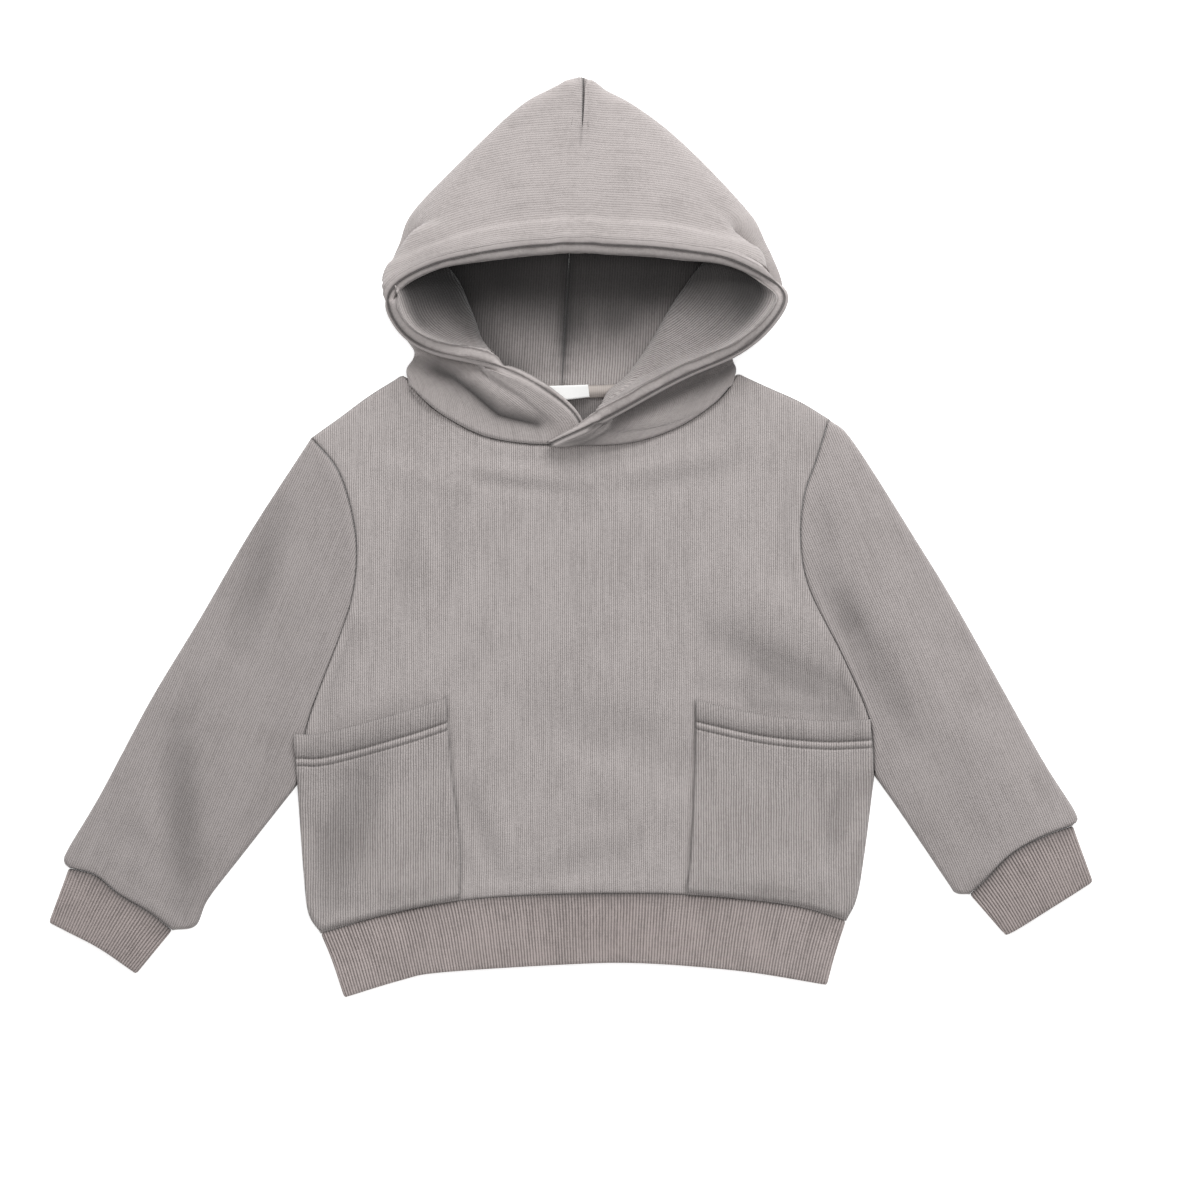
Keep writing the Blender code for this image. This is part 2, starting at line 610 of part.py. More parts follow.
def hood_layer(name, side, finish):
    """One layer of the hood, on the outer (side = 1) or the lining side (side = -1)."""
    rows = hood_rows()

    def place(i, j):
        return rows[j][i]

    def bulge(i, j):
        return (0.0, ROLL_BULGE, ROLL_BULGE * 0.5)[i] if i < ROLL_COLUMNS else 0.0

    def near(i, j):
        return side * PAIR_GAP

    def far(i, j):
        return side * (PAIR_GAP + WALL + bulge(i, j))

    def sewn(i, j):
        return j in (0, len(rows) - 1) and i not in (SIDE - 1, SIDE)
    return cloth(name, SEAM, len(rows) - 1, place, near, far, finish, (5, len(rows) // 2),
                 level=sewn)


def centre_on_origin():
    """Moves every piece so that the middle of the whole outline lies over the origin."""
    points = [vertex.co for piece in garment.objects for vertex in piece.data.vertices]
    middle = [(min(p[axis] for p in points) + max(p[axis] for p in points)) / 2 for axis in (0, 1)]
    for piece in garment.objects:
        piece.data.transform(Matrix.Translation((-middle[0], -middle[1], 0)))


# Build -------------------------------------------------------------------------------

for old in list(bpy.data.objects):
    bpy.data.objects.remove(old, do_unlink=True)

garment = bpy.data.collections.new("toddler_hoodie")
bpy.context.scene.collection.children.link(garment)
body_cloth = material("sweatshirt_cloth", BODY_COLOUR, 0.9)
rib_cloth = material("rib_cloth", RIB_COLOUR, 0.9)
tape_cloth = material("neck_tape_cloth", TAPE_COLOUR, 0.8)
label_cloth = material("label_cloth", LABEL_COLOUR, 0.6)

body_panel("front_panel", NECKLINE, front_height)
body_panel("back_panel", BACK_NECK, lambda x, y: 0.0)
sleeve("sleeve_left", ARMHOLE_LEFT, OVERARM_LEFT, UNDERARM_LEFT, CUFF_SEAM_LEFT, (-0.95, -0.55))
sleeve("sleeve_right", ARMHOLE_RIGHT, OVERARM_RIGHT, UNDERARM_RIGHT, CUFF_SEAM_RIGHT, (1.15, -0.6))
cuff("cuff_left", CUFF_SEAM_LEFT, CUFF_END_LEFT, (-0.2, -0.35))
cuff("cuff_right", CUFF_SEAM_RIGHT, CUFF_END_RIGHT, (0.2, -0.35))
hem_band()
pocket("pocket_left", POCKET_LEFT, False)
pocket("pocket_right", POCKET_RIGHT, True)
neck_tape()
neck_label()
hood_layer("hood_outer", 1, body_cloth)
hood_layer("hood_lining", -1, body_cloth)
centre_on_origin()
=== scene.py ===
# %% [markdown]
# # A toddler's hoodie in heavy sweatshirt cloth, laid flat
# The real thing is cut from thick brushed knit and sewn from thirteen pieces: front, back, two
# sleeves, two ribbed cuffs, a ribbed hem band, a hood and its lining, two patch pockets, a neck
# tape and a blank label.
# Each piece could be a simulated cloth, but a garment that was laid out by hand has chosen
# folds, so every piece here is a thin wall on a grid that follows its own cut and its folds.

import json
import math

import bmesh
import bpy
import numpy as np
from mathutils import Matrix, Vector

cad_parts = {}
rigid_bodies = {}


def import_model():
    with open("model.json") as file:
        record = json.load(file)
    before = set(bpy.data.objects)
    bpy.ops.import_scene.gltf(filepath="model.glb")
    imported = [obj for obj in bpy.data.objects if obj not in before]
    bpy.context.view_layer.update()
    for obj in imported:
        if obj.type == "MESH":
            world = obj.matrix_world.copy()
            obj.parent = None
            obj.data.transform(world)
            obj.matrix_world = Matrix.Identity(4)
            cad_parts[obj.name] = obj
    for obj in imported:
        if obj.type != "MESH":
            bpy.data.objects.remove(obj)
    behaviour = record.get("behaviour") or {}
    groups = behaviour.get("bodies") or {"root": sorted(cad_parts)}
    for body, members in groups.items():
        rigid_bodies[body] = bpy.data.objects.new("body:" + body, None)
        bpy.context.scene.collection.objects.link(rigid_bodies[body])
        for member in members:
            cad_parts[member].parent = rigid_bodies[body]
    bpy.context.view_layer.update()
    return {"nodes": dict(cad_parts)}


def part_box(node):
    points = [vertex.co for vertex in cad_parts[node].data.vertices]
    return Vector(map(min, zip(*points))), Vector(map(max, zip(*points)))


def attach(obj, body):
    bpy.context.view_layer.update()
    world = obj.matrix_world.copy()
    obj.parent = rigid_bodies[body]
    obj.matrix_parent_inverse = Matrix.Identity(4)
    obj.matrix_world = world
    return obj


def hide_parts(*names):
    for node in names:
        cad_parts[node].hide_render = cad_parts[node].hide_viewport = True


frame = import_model()
MM = 0.001
HEM_LOW = -294.0  # the lowest y of the outlines below, in millimetres
lift_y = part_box("hem_band")[0].y / MM - HEM_LOW
print("pieces to dress:", len(frame["nodes"]), "moved along y by", round(lift_y, 2), "mm")

# %% [markdown]
# ## The view
# The hoodie is seen from straight above. A long lens from eight metres keeps the raised hood
# from growing against the body, as a shorter lens would do.

# %% Camera
CAMERA_HEIGHT = 8.0
FRAME_WIDTH = 0.768
SENSOR = 36.0
VIEW_CENTRE = (0.0186, -0.0397)
camera_data = bpy.data.cameras.new("camera")
camera_data.sensor_width = SENSOR
camera_data.lens = SENSOR * CAMERA_HEIGHT / FRAME_WIDTH
camera = bpy.data.objects.new("camera", camera_data)
camera.location = (VIEW_CENTRE[0], VIEW_CENTRE[1] + lift_y * MM, CAMERA_HEIGHT)
bpy.context.scene.collection.objects.link(camera)
bpy.context.scene.camera = camera
bpy.context.scene.view_settings.view_transform = "Standard"
print("lens", round(camera_data.lens), "mm")

# %% [markdown]
# ## Sizes
# The cloth and the cut are the same as in the solid model: wall thicknesses, the outlines of
# the pieces in plan, and the sections of the hood, all in millimetres.

# %% Cloth and heights
# the cloths, and the gaps at seams, under patches and between the two layers of the hood
WALL = 2.1
RIB_WALL = 2.3
TAPE_WALL = 1.0
LABEL_WALL = 0.8
POCKET_WALL = 2.0
SEAM_GAP = 0.3
PATCH_GAP = 0.45
PAIR_GAP = 0.15

# the front lies on the back, and air between them lifts it away from its seams
FRONT_LOW = WALL + SEAM_GAP
FRONT_RISE = 3.4
SHOULDER_FADE = 14.0

# tubes pressed flat: the radius of their folded edges, and how far the middle stands up
EDGE_RADIUS = 2.8
SLEEVE_CROWN = 2.5
CUFF_CROWN = 2.4
HEM_CROWN = 2.8

# the hood's layers, one step above the other where it is pleated
ROLL_WIDTH = 14.0
FLOOR_Z = PAIR_GAP + WALL
STEP_Z = 6.6
PLEAT_LOW_Z = FLOOR_Z + STEP_Z
PLEAT_HIGH_Z = PLEAT_LOW_Z + STEP_Z
ROOF_SIDE_Z = PLEAT_HIGH_Z + STEP_Z
FOLD_INSET = 3.0

# where the hood is sewn in: shares of the neckline's length at which its two fronts end in
# the middle, the share at the shoulders, and how far inside the seam its edge lies
FRONT_OVERLAP = (0.535, 0.445)
NECK_END = 0.045
NECK_INSET = 0.4

# shares of a panel's edges: side seam below the armhole, and shoulder beside the neck
SIDE_SHARE, SHOULDER_SHARE = 3 / 9, 4 / 19
PANEL_SPAN = 330  # about how wide and long a panel is, to place points beside its seams
print("front and back are", round(FRONT_LOW + FRONT_RISE + WALL, 1), "mm high in the middle")

# %% Plan outlines
NECKLINE = [(-108, 104), (-97, 91), (-84, 80), (-58, 66), (-30, 60.5), (0, 60), (40, 62),
            (70, 72), (95, 89), (107, 105)]
BACK_NECK = [(-108, 104), (-97, 100), (-60, 96.5), (0, 94), (60, 96.5), (96, 100), (107, 105)]
SHOULDER_LEFT = [(-166, 64), (-148, 77), (-129, 91), (-108, 104)]
SHOULDER_RIGHT = [(107, 105), (127, 96), (147, 87), (165, 76)]
ARMHOLE_LEFT = [(-175, -158), (-168, -117), (-149, -66), (-140, -38), (-137, -8), (-141, 20),
                (-150, 45), (-166, 64)]
ARMHOLE_RIGHT = [(194, -152), (191, -117), (175, -78), (153, -34), (147, -4), (149, 26),
                 (157, 50), (165, 76)]
SIDE_LEFT = [(-160, -253), (-168, -240), (-171, -214), (-175, -158)]
SIDE_RIGHT = [(176, -245), (183, -230), (188, -200), (194, -152)]
HEM_SEAM = [(-160, -253), (-122, -242), (-71, -232), (-10, -228), (70, -228), (140, -235),
            (176, -245)]
HEM_END = [(-145, -294), (-109, -283), (-84, -278), (-7, -273), (44, -272), (108, -277),
           (164, -286)]
HEM_SIDE_LEFT = [(-159, -254), (-153, -270), (-145, -294)]
HEM_SIDE_RIGHT = [(176, -246), (169, -267), (164, -286)]
OVERARM_LEFT = [(-166, 64), (-205, 4), (-237, -51), (-269, -104), (-301, -164),
                (-321.5, -198.5), (-324.4, -207), (-321, -211)]
UNDERARM_LEFT = [(-175, -158), (-212, -205), (-232, -231), (-240, -248), (-255, -251)]
CUFF_SEAM_LEFT = [(-321, -211), (-304, -216), (-289, -228), (-269, -240), (-255, -251)]
CUFF_END_LEFT = [(-334, -246), (-322, -252), (-301, -263), (-278, -279)]
OVERARM_RIGHT = [(165, 76), (181, 61), (223, -5), (249, -48), (300, -139), (323, -176),
                 (321, -184)]
UNDERARM_RIGHT = [(194, -152), (211, -176), (240, -219), (246, -227), (255, -228)]
CUFF_SEAM_RIGHT = [(321, -184), (300, -192), (281, -203), (265, -219), (255, -228)]
CUFF_END_RIGHT = [(334, -220), (307, -237), (281, -253), (276, -252)]
POCKET_LEFT = {
    "top": [(-177, -125.5), (-156, -124.5), (-109, -112), (-80, -102.5)],
    "inner": [(-80, -102.5), (-76, -152), (-71, -195), (-71, -230)],
    "side": [(-177, -125.5), (-177, -134), (-175.6, -149), (-171, -214), (-168, -238),
             (-160, -251)],
    "hem": [(-160, -251), (-122, -241), (-71, -230)],
}
POCKET_RIGHT = {
    "top": [(80, -104), (121, -113), (160, -117), (191.5, -116)],
    "inner": [(80, -104), (79, -150), (77, -195), (74, -226.5)],
    "side": [(191.5, -116), (192.8, -152), (187, -200), (182, -230), (176, -243)],
    "hem": [(74, -226.5), (140, -233.5), (176, -243)],
}
TAPE_SECTION = [(-4.5, 2.5), (-0.8, 4.75), (3.5, 4.75)]  # from the back neck seam, and z
LABEL_CORNERS = [(-20, 97), (11, 98), (-17, 86.5), (12, 90)]  # top left and right, low ones
LABEL_Z = 6.05
print("the body is", SIDE_RIGHT[-1][0] - SIDE_LEFT[-1][0], "mm wide at the armholes")

# %% Hood sections
# Each row is a section from the face edge to the centre-back seam: rim, corner, crease, mid,
# side and seam_y. Rows run from the neckline to the crown. A point without a height gets the
# height of its layer, and a None has no such fold there.
LEFT_SECTIONS = [
    ((12, 62, 6.6), (-12, 60.5, 6.6), (-38, 61, 6.8), (-73, 73.5, 7.2), (-108.5, 104), 96),
    ((5, 77, 8.8), (-15, 73, 8.4), (-50, 78, 8.8), (-78, 92, 9.0), (-106, 108), 100),
    ((-12, 92, 12.4), (-27, 86, 12.8), (-48, 87, 13), (-78, 103, 11), (-103, 112), 105),
    ((-36, 106, 17), (-45, 103.5, 16.5), (-56, 104, 15), (-80, 110, 11), (-101, 116), 111),
    ((-60, 113.5, 20), None, (-51, 119.5, None), (-78, 116, None), (-101, 121), 118),
    ((-84, 117.5, 21), None, (-56, 127, None), (-82, 124, None), (-106, 128), 126),
    ((-104, 127, 21.5), None, (-60, 139, None), (-87, 137, None), (-112, 138), 137),
    ((-115, 142, 22), None, (-65, 151, None), (-92, 150, None), (-117, 149), 149),
    ((-117, 155, 24), (-114, 163, 21), (-70, 163, None), (-95, 162, None), (-119, 160), 161),
    ((-107, 166, 25.5), (-119, 171, None), (-79, 175, None), (-98, 174, None), (-117, 171), 174),
    ((-86, 176, 27.5), (-111, 188, None), (-90, 189, None), (-101, 188, None), (-110, 189), 188),
    ((-71, 180, 29), (-95, 201, 22.5), (-93, 203, 17), (-96, 204, 12), (-101, 205), 200),
    ((-58, 183, 30), None, None, None, (-91, 220, 17), 214),
    ((-38, 186, 31.5), None, None, None, (-61, 250, 13), 240),
    ((-23, 187.5, 32), None, None, None, (-33, 277, 10.5), 264),
    ((-13, 188, 32), None, None, None, (-12, 290.6, 9), 283),
]
RIGHT_SECTIONS = [
    ((-10, 60.5, 12.8), (10, 61.5, 12.2), (36, 62, 9.2), (70, 72.5, 7.2), (107, 104.5), 96),
    ((1, 66.5, 18.6), (12, 65.5, 15), (44, 69.5, 9.8), (71, 78, 8.4), (106, 108), 100),
    ((14, 72.5, 21.5), (17, 72.5, 18), (26, 73, 14.5), (70, 84, 9), (105, 111), 105),
    ((33, 82, 21.5), None, (20, 90, None), (68, 92, 9.2), (104, 114), 110),
    ((55, 94.5, 21), None, (32, 100, None), (74, 102, 9.0), (104, 118), 115),
    ((79, 106.5, 21.5), None, (43, 114, None), (82, 113, None), (108, 122), 122),
    ((103, 116, 22), None, (53, 130, None), (86, 128, None), (116, 129), 131),
    ((121, 129, 22.5), None, (62, 146, None), (94, 142, None), (126, 138), 141),
    ((132, 143, 23), None, (71, 160, None), (101, 155, None), (132, 150), 152),
    ((135, 156, 23.5), None, (78, 172, None), (106, 166, None), (134, 161), 165),
    ((123, 168, 25.5), (133, 174, None), (87, 184, None), (110, 180, None), (131, 175), 180),
    ((100, 180, 28), (123, 193, None), (107, 194, None), (115, 194, None), (122, 194), 196),
    ((75, 184, 30), None, None, None, (99, 225, 17), 220),
    ((54, 186.5, 31.5), None, None, None, (67, 257, 12), 244),
    ((36, 187.5, 32), None, None, None, (40, 278, 10), 264),
    ((22, 188, 32), None, None, None, (20, 289.6, 9), 283),
]
CROWN_RIM = (4, 189, 32)
DART_END = (7, 258, 17.0)
# y, and the x of the centre-back seam there
SEAM_X = [(94, -6), (150, -3), (182, -1), (262, 2), (293, 7)]
print("hood sections:", len(LEFT_SECTIONS), "left and", len(RIGHT_SECTIONS), "right")

# %% [markdown]
# ## Curves and patches
# A cut edge is a smooth run through a few points. A panel is the Coons patch between its four
# edges: it is the surface that a tailor's ruler would sweep, and it keeps the seams exact.

# %% Smooth runs, edges and patches
def refine(net, axis, factor):
    """Catmull-Rom points between the rows or columns of a net, or between a run's points."""
    net = np.moveaxis(net, axis, 0)
    ends = np.concatenate([[net[0] * 2 - net[1]], net, [net[-1] * 2 - net[-2]]])
    a, b, c, d = ends[:-3], ends[1:-2], ends[2:-1], ends[3:]
    shares = np.linspace(0, 1, factor, endpoint=False)
    dense = [0.5 * (2 * b + (c - a) * t + (2 * a - 5 * b + 4 * c - d) * t ** 2
                    + (3 * b - a - 3 * c + d) * t ** 3) for t in shares]
    dense = np.stack(dense, 1).reshape((-1,) + net.shape[1:])
    return np.moveaxis(np.concatenate([dense, net[-1:]]), 0, axis)


def smooth_run(points, steps=16):
    """A smooth curve through points, as a dense array."""
    return refine(np.array(points, float), 0, steps)


def at_shares(points, shares):
    """Points at the given shares of a polyline's length."""
    steps = np.linalg.norm(np.diff(points, axis=0), axis=1)
    reach = np.concatenate([[0], np.cumsum(steps)])
    target = np.clip(shares, 0, 1) * reach[-1]
    return np.stack([np.interp(target, reach, points[:, k]) for k in range(points.shape[1])], -1)


def edge(*runs):
    """One edge of a panel, from runs of (points, share of the edge's parameter)."""
    def at(shares):
        result = np.zeros((len(shares), 2))
        start = 0.0
        for points, share in runs:
            inside = (shares >= start - 1e-9) & (shares <= start + share + 1e-9)
            result[inside] = at_shares(smooth_run(points), (shares[inside] - start) / share)
            start += share
        return result
    return at


def patch(low, high, left, right, u, v):
    """A Coons patch: low and high run in u, left and right in v. Array of (u, v, 2)."""
    ends = np.array([0.0, 1.0])
    low_ends, high_ends = low(ends), high(ends)
    uu, vv = u[:, None, None], v[None, :, None]
    ruled = low(u)[:, None] * (1 - vv) + high(u)[:, None] * vv
    across = left(v)[None] * (1 - uu) + right(v)[None] * uu
    corners = ((low_ends[0] * (1 - uu) + low_ends[1] * uu) * (1 - vv)
               + (high_ends[0] * (1 - uu) + high_ends[1] * uu) * vv)
    return ruled + across - corners


def stops(cells, width, insets=(0.5, 1.1, 1.9, 3.0)):
    """Even shares of a width, with a few more close to both ends for a rounded edge."""
    near = np.array(insets) / width
    inner = np.linspace(0, 1, cells + 1)
    inner = inner[(inner > near[-1] * 1.3) & (inner < 1 - near[-1] * 1.3)]
    return np.concatenate([[0], near, inner, 1 - near[::-1], [1]])


def fade(value, start, end):
    """A smooth step from 0 at start to 1 at end."""
    t = np.clip((value - start) / (end - start), 0, 1)
    return t * t * (3 - 2 * t)


def band(value, rise, fall):
    """A smooth step up between the values of rise, and down again between those of fall."""
    return fade(value, *rise) * (1 - fade(value, *fall))


def plateau(value, centre, width):
    """A hump of height 1 with a flat top, round one value."""
    return np.exp(-((value - centre) / width) ** 4)


def hump(value, centre, width):
    """A soft hump of height 1, round one value."""
    return np.exp(-((value - centre) / width) ** 2)


def mound(x, y, centre, widths):
    """A soft mound of height 1, round one place."""
    return np.exp(-((x - centre[0]) / widths[0]) ** 2 - ((y - centre[1]) / widths[1]) ** 2)


def line_distance(x, y, start, end):
    """Distance to a straight run, and the share along it."""
    (x0, y0), (x1, y1) = start, end
    length = (x1 - x0) ** 2 + (y1 - y0) ** 2
    share = np.clip(((x - x0) * (x1 - x0) + (y - y0) * (y1 - y0)) / length, 0, 1)
    return np.hypot(x - x0 - share * (x1 - x0), y - y0 - share * (y1 - y0)), share


FOLD_END = 0.35  # height of a fold at its ends, as a share of that at its middle


def soft_folds(x, y, folds):
    """Height of listed folds: each row is start, end, half width and height."""
    height = np.zeros_like(x)
    for start, end, width, rise in folds:
        distance, share = line_distance(x, y, start, end)
        ends = FOLD_END + (1 - FOLD_END) * np.sin(math.pi * np.clip(share, 0.04, 0.96)) ** 0.7
        height += rise * hump(distance, 0, width) * ends
    return height


print("a run through the neckline has", len(smooth_run(NECKLINE)), "points")

# %% [markdown]
# ## A wall of cloth
# Thick knit shows its edge, so a flat sheet is not enough. Solidify could give it thickness,
# but the wall has to thin out at every seam, where the cloth is pulled down by the thread.
# So a grid is laid on the surface, extruded once, and each side is moved along its normal.

# %% Wall builder
def reach_along(surface, axis):
    """Distance walked on a surface along one axis of its grid."""
    steps = np.linalg.norm(np.diff(surface, axis=axis), axis=-1)
    start = np.zeros_like(np.take(steps, [0], axis))
    return np.concatenate([start, np.cumsum(steps, axis)], axis)


def edge_distance(surface, sides):
    """Distance to the nearest of the named sides of the grid."""
    across, along = reach_along(surface, 0), reach_along(surface, 1)
    reaches = {"left": across, "right": across[-1:] - across,
               "low": along, "high": along[:, -1:] - along}
    return np.minimum.reduce([reaches[side] for side in sides])


def seam_line(distance, reach=0.9, depth=0.5):
    """The narrow dark line where cloth dips into a seam."""
    return depth * hump(distance, 0, reach)


def run_line(x, y, run, reach, depth):
    """A soft dark line along a straight run, which is its two ends."""
    return seam_line(line_distance(x, y, *run)[0], reach, depth)


VALLEY_DARK, VALLEY_LIMIT = 0.08, 5.0  # shade for each millimetre, down to the limit


def valley_shade(folds):
    """Painted shade: the colour a little darker where a fold dips, as shade falls there."""
    return VALLEY_DARK * np.clip(-folds, 0, VALLEY_LIMIT)


def grid_normals(surface, closed):
    """Directions square to a grid, turned so that its highest point looks up."""
    if closed:
        wrapped = np.concatenate([surface[-2:-1], surface, surface[1:2]])
        across = (wrapped[2:] - wrapped[:-2]) / 2
    else:
        across = np.gradient(surface, axis=0)
    normal = np.cross(across, np.gradient(surface, axis=1))
    normal /= np.maximum(np.linalg.norm(normal, axis=-1, keepdims=True), 1e-9)
    top = np.unravel_index(np.argmax(surface[..., 2]), surface.shape[:2])
    return normal * (1 if normal[top][2] > 0 else -1)


STRIDE = 10000  # more than the rows of any grid, so that one whole number names a cell


def wall(name, surface, low, high, across, along, finish, shade, closed=False, normal=None):
    """A closed wall of cloth between low and high beside a surface, all in millimetres.

    across and along are the cloth's own coordinates and become its UV map, in metres. shade is
    how far the colour is darkened: the dark lines of seams, where the knit closes up, and painted
    shade in folds, hollows, creases and under rolls.
    """
    columns, rows = surface.shape[0] - 1, surface.shape[1] - 1
    if normal is None:
        normal = grid_normals(surface, closed)
    sides = []
    for distance in (low, high):
        side = surface + normal * np.broadcast_to(distance, surface.shape[:2])[..., None]
        side[..., 2] = np.maximum(side[..., 2], 0.0)
        side[..., 1] += lift_y
        sides.append((side * MM).tolist())
    uvs = (np.stack([across, along], -1) * MM).tolist()
    shell = bmesh.new()
    tag = shell.verts.layers.int.new("cell")
    shaded = shell.verts.layers.float.new("shade")
    weave = shell.loops.layers.uv.new("cloth")
    bmesh.ops.create_grid(shell, x_segments=columns, y_segments=rows, size=1.0)
    for vertex in shell.verts:
        i = round((vertex.co.x + 1) / 2 * columns)
        vertex[tag] = i * STRIDE + round((vertex.co.y + 1) / 2 * rows)
    for face in shell.faces:
        for loop in face.loops:
            i, j = divmod(loop.vert[tag], STRIDE)
            loop[weave].uv = uvs[i][j]
    if closed:
        first = {v[tag]: v for v in shell.verts if v[tag] < STRIDE}
        last = [v for v in shell.verts if v[tag] // STRIDE == columns]
        bmesh.ops.weld_verts(shell, targetmap={v: first[v[tag] % STRIDE] for v in last})
    grown = bmesh.ops.extrude_face_region(shell, geom=list(shell.faces), use_keep_orig=True)
    upper = {item for item in grown["geom"] if isinstance(item, bmesh.types.BMVert)}
    for vertex in shell.verts:
        i, j = divmod(vertex[tag], STRIDE)
        vertex.co = sides[1 if vertex in upper else 0][i][j]
        vertex[shaded] = shade[i, j]
    bmesh.ops.recalc_face_normals(shell, faces=list(shell.faces))
    if shell.calc_volume(signed=True) < 0:
        bmesh.ops.reverse_faces(shell, faces=list(shell.faces))
    mesh = bpy.data.meshes.new(name)
    shell.to_mesh(mesh)
    shell.free()
    mesh.materials.append(finish)
    mesh.shade_smooth()
    piece = bpy.data.objects.new(name, mesh)
    bpy.context.scene.collection.objects.link(piece)
    print(name, len(mesh.polygons) * 2, "triangles")
    return piece


# %% [markdown]
# ## Finishes
# Sweatshirt knit shows fine ribs of stitches, the wales, that run down the cloth, with a soft
# brushed bloom and a little mottle. The wales are far too fine to model on whole panels, so a
# shader group draws them from the piece's own UV map. Rib knit has the same stitches but
# deep ribs, which are modelled in the mesh.

# %% Small node helpers
def maths(tree, operation, first, second=None):
    """A Math node fed by sockets or plain numbers."""
    node = tree.nodes.new("ShaderNodeMath")
    node.operation = operation
    for slot_index, value in enumerate((first, second)):
        if isinstance(value, (int, float)):
            node.inputs[slot_index].default_value = value
        elif value is not None:
            tree.links.new(value, node.inputs[slot_index])
    return node.outputs[0]


def noise(tree, vector, scale, detail=2.0):
    """Noise round zero."""
    node = tree.nodes.new("ShaderNodeTexNoise")
    node.inputs["Scale"].default_value = scale
    node.inputs["Detail"].default_value = detail
    tree.links.new(vector, node.inputs["Vector"])
    return maths(tree, "SUBTRACT", node.outputs["Fac"], 0.5)


def blend_colours(tree, share, first, second):
    """A Mix node for two colours, fed by sockets or plain colours."""
    node = tree.nodes.new("ShaderNodeMix")
    node.data_type = "RGBA"
    tree.links.new(share, node.inputs["Factor"])
    for value, index in ((first, 6), (second, 7)):
        if isinstance(value, tuple):
            node.inputs[index].default_value = value
        else:
            tree.links.new(value, node.inputs[index])
    return node.outputs[2]


def set_inputs(node, values):
    """Plain values on a node's own sockets."""
    for key, value in values.items():
        node.inputs[key].default_value = value


print("node helpers ready")

# %% Knit group
DEEP = (0.013, 0.012, 0.012, 1)  # the colour that Shade leads to, where hardly any light gets in
KNIT_INPUTS = [
    # name, kind, plain value
    ("Face", "NodeSocketColor", (0.4, 0.36, 0.35, 1)),
    ("Valley", "NodeSocketColor", (0.2, 0.18, 0.17, 1)),
    ("Wale", "NodeSocketFloat", 0.0014),
    ("Stitch", "NodeSocketFloat", 0.0017),
    ("Contrast", "NodeSocketFloat", 0.3),
    ("Mottle", "NodeSocketFloat", 0.12),
    ("Shade", "NodeSocketFloat", 0.0),
]
KNIT_OUTPUTS = [("Color", "NodeSocketColor"), ("Height", "NodeSocketFloat"),
                ("Roughness", "NodeSocketFloat")]
WAVER = 0.0011  # how far a wale wanders, in metres
LOOP_SLANT = 0.45
VALLEY_POWER = 2.2  # higher is a narrower valley
WAVER_SCALE, FUZZ_SCALE, PATCH_SCALE, GRAIN_SCALE = 60.0, 1400.0, 45.0, 420.0
STREAK_ACROSS, STREAK_ALONG = 420.0, 28.0
LOOP_HEIGHT, FUZZ_HEIGHT = 0.15, 1.2
LOOP_LIGHT, FUZZ_DARK = -0.03, 0.25
ROUGH, ROUGH_FUZZ = 0.92, 0.1


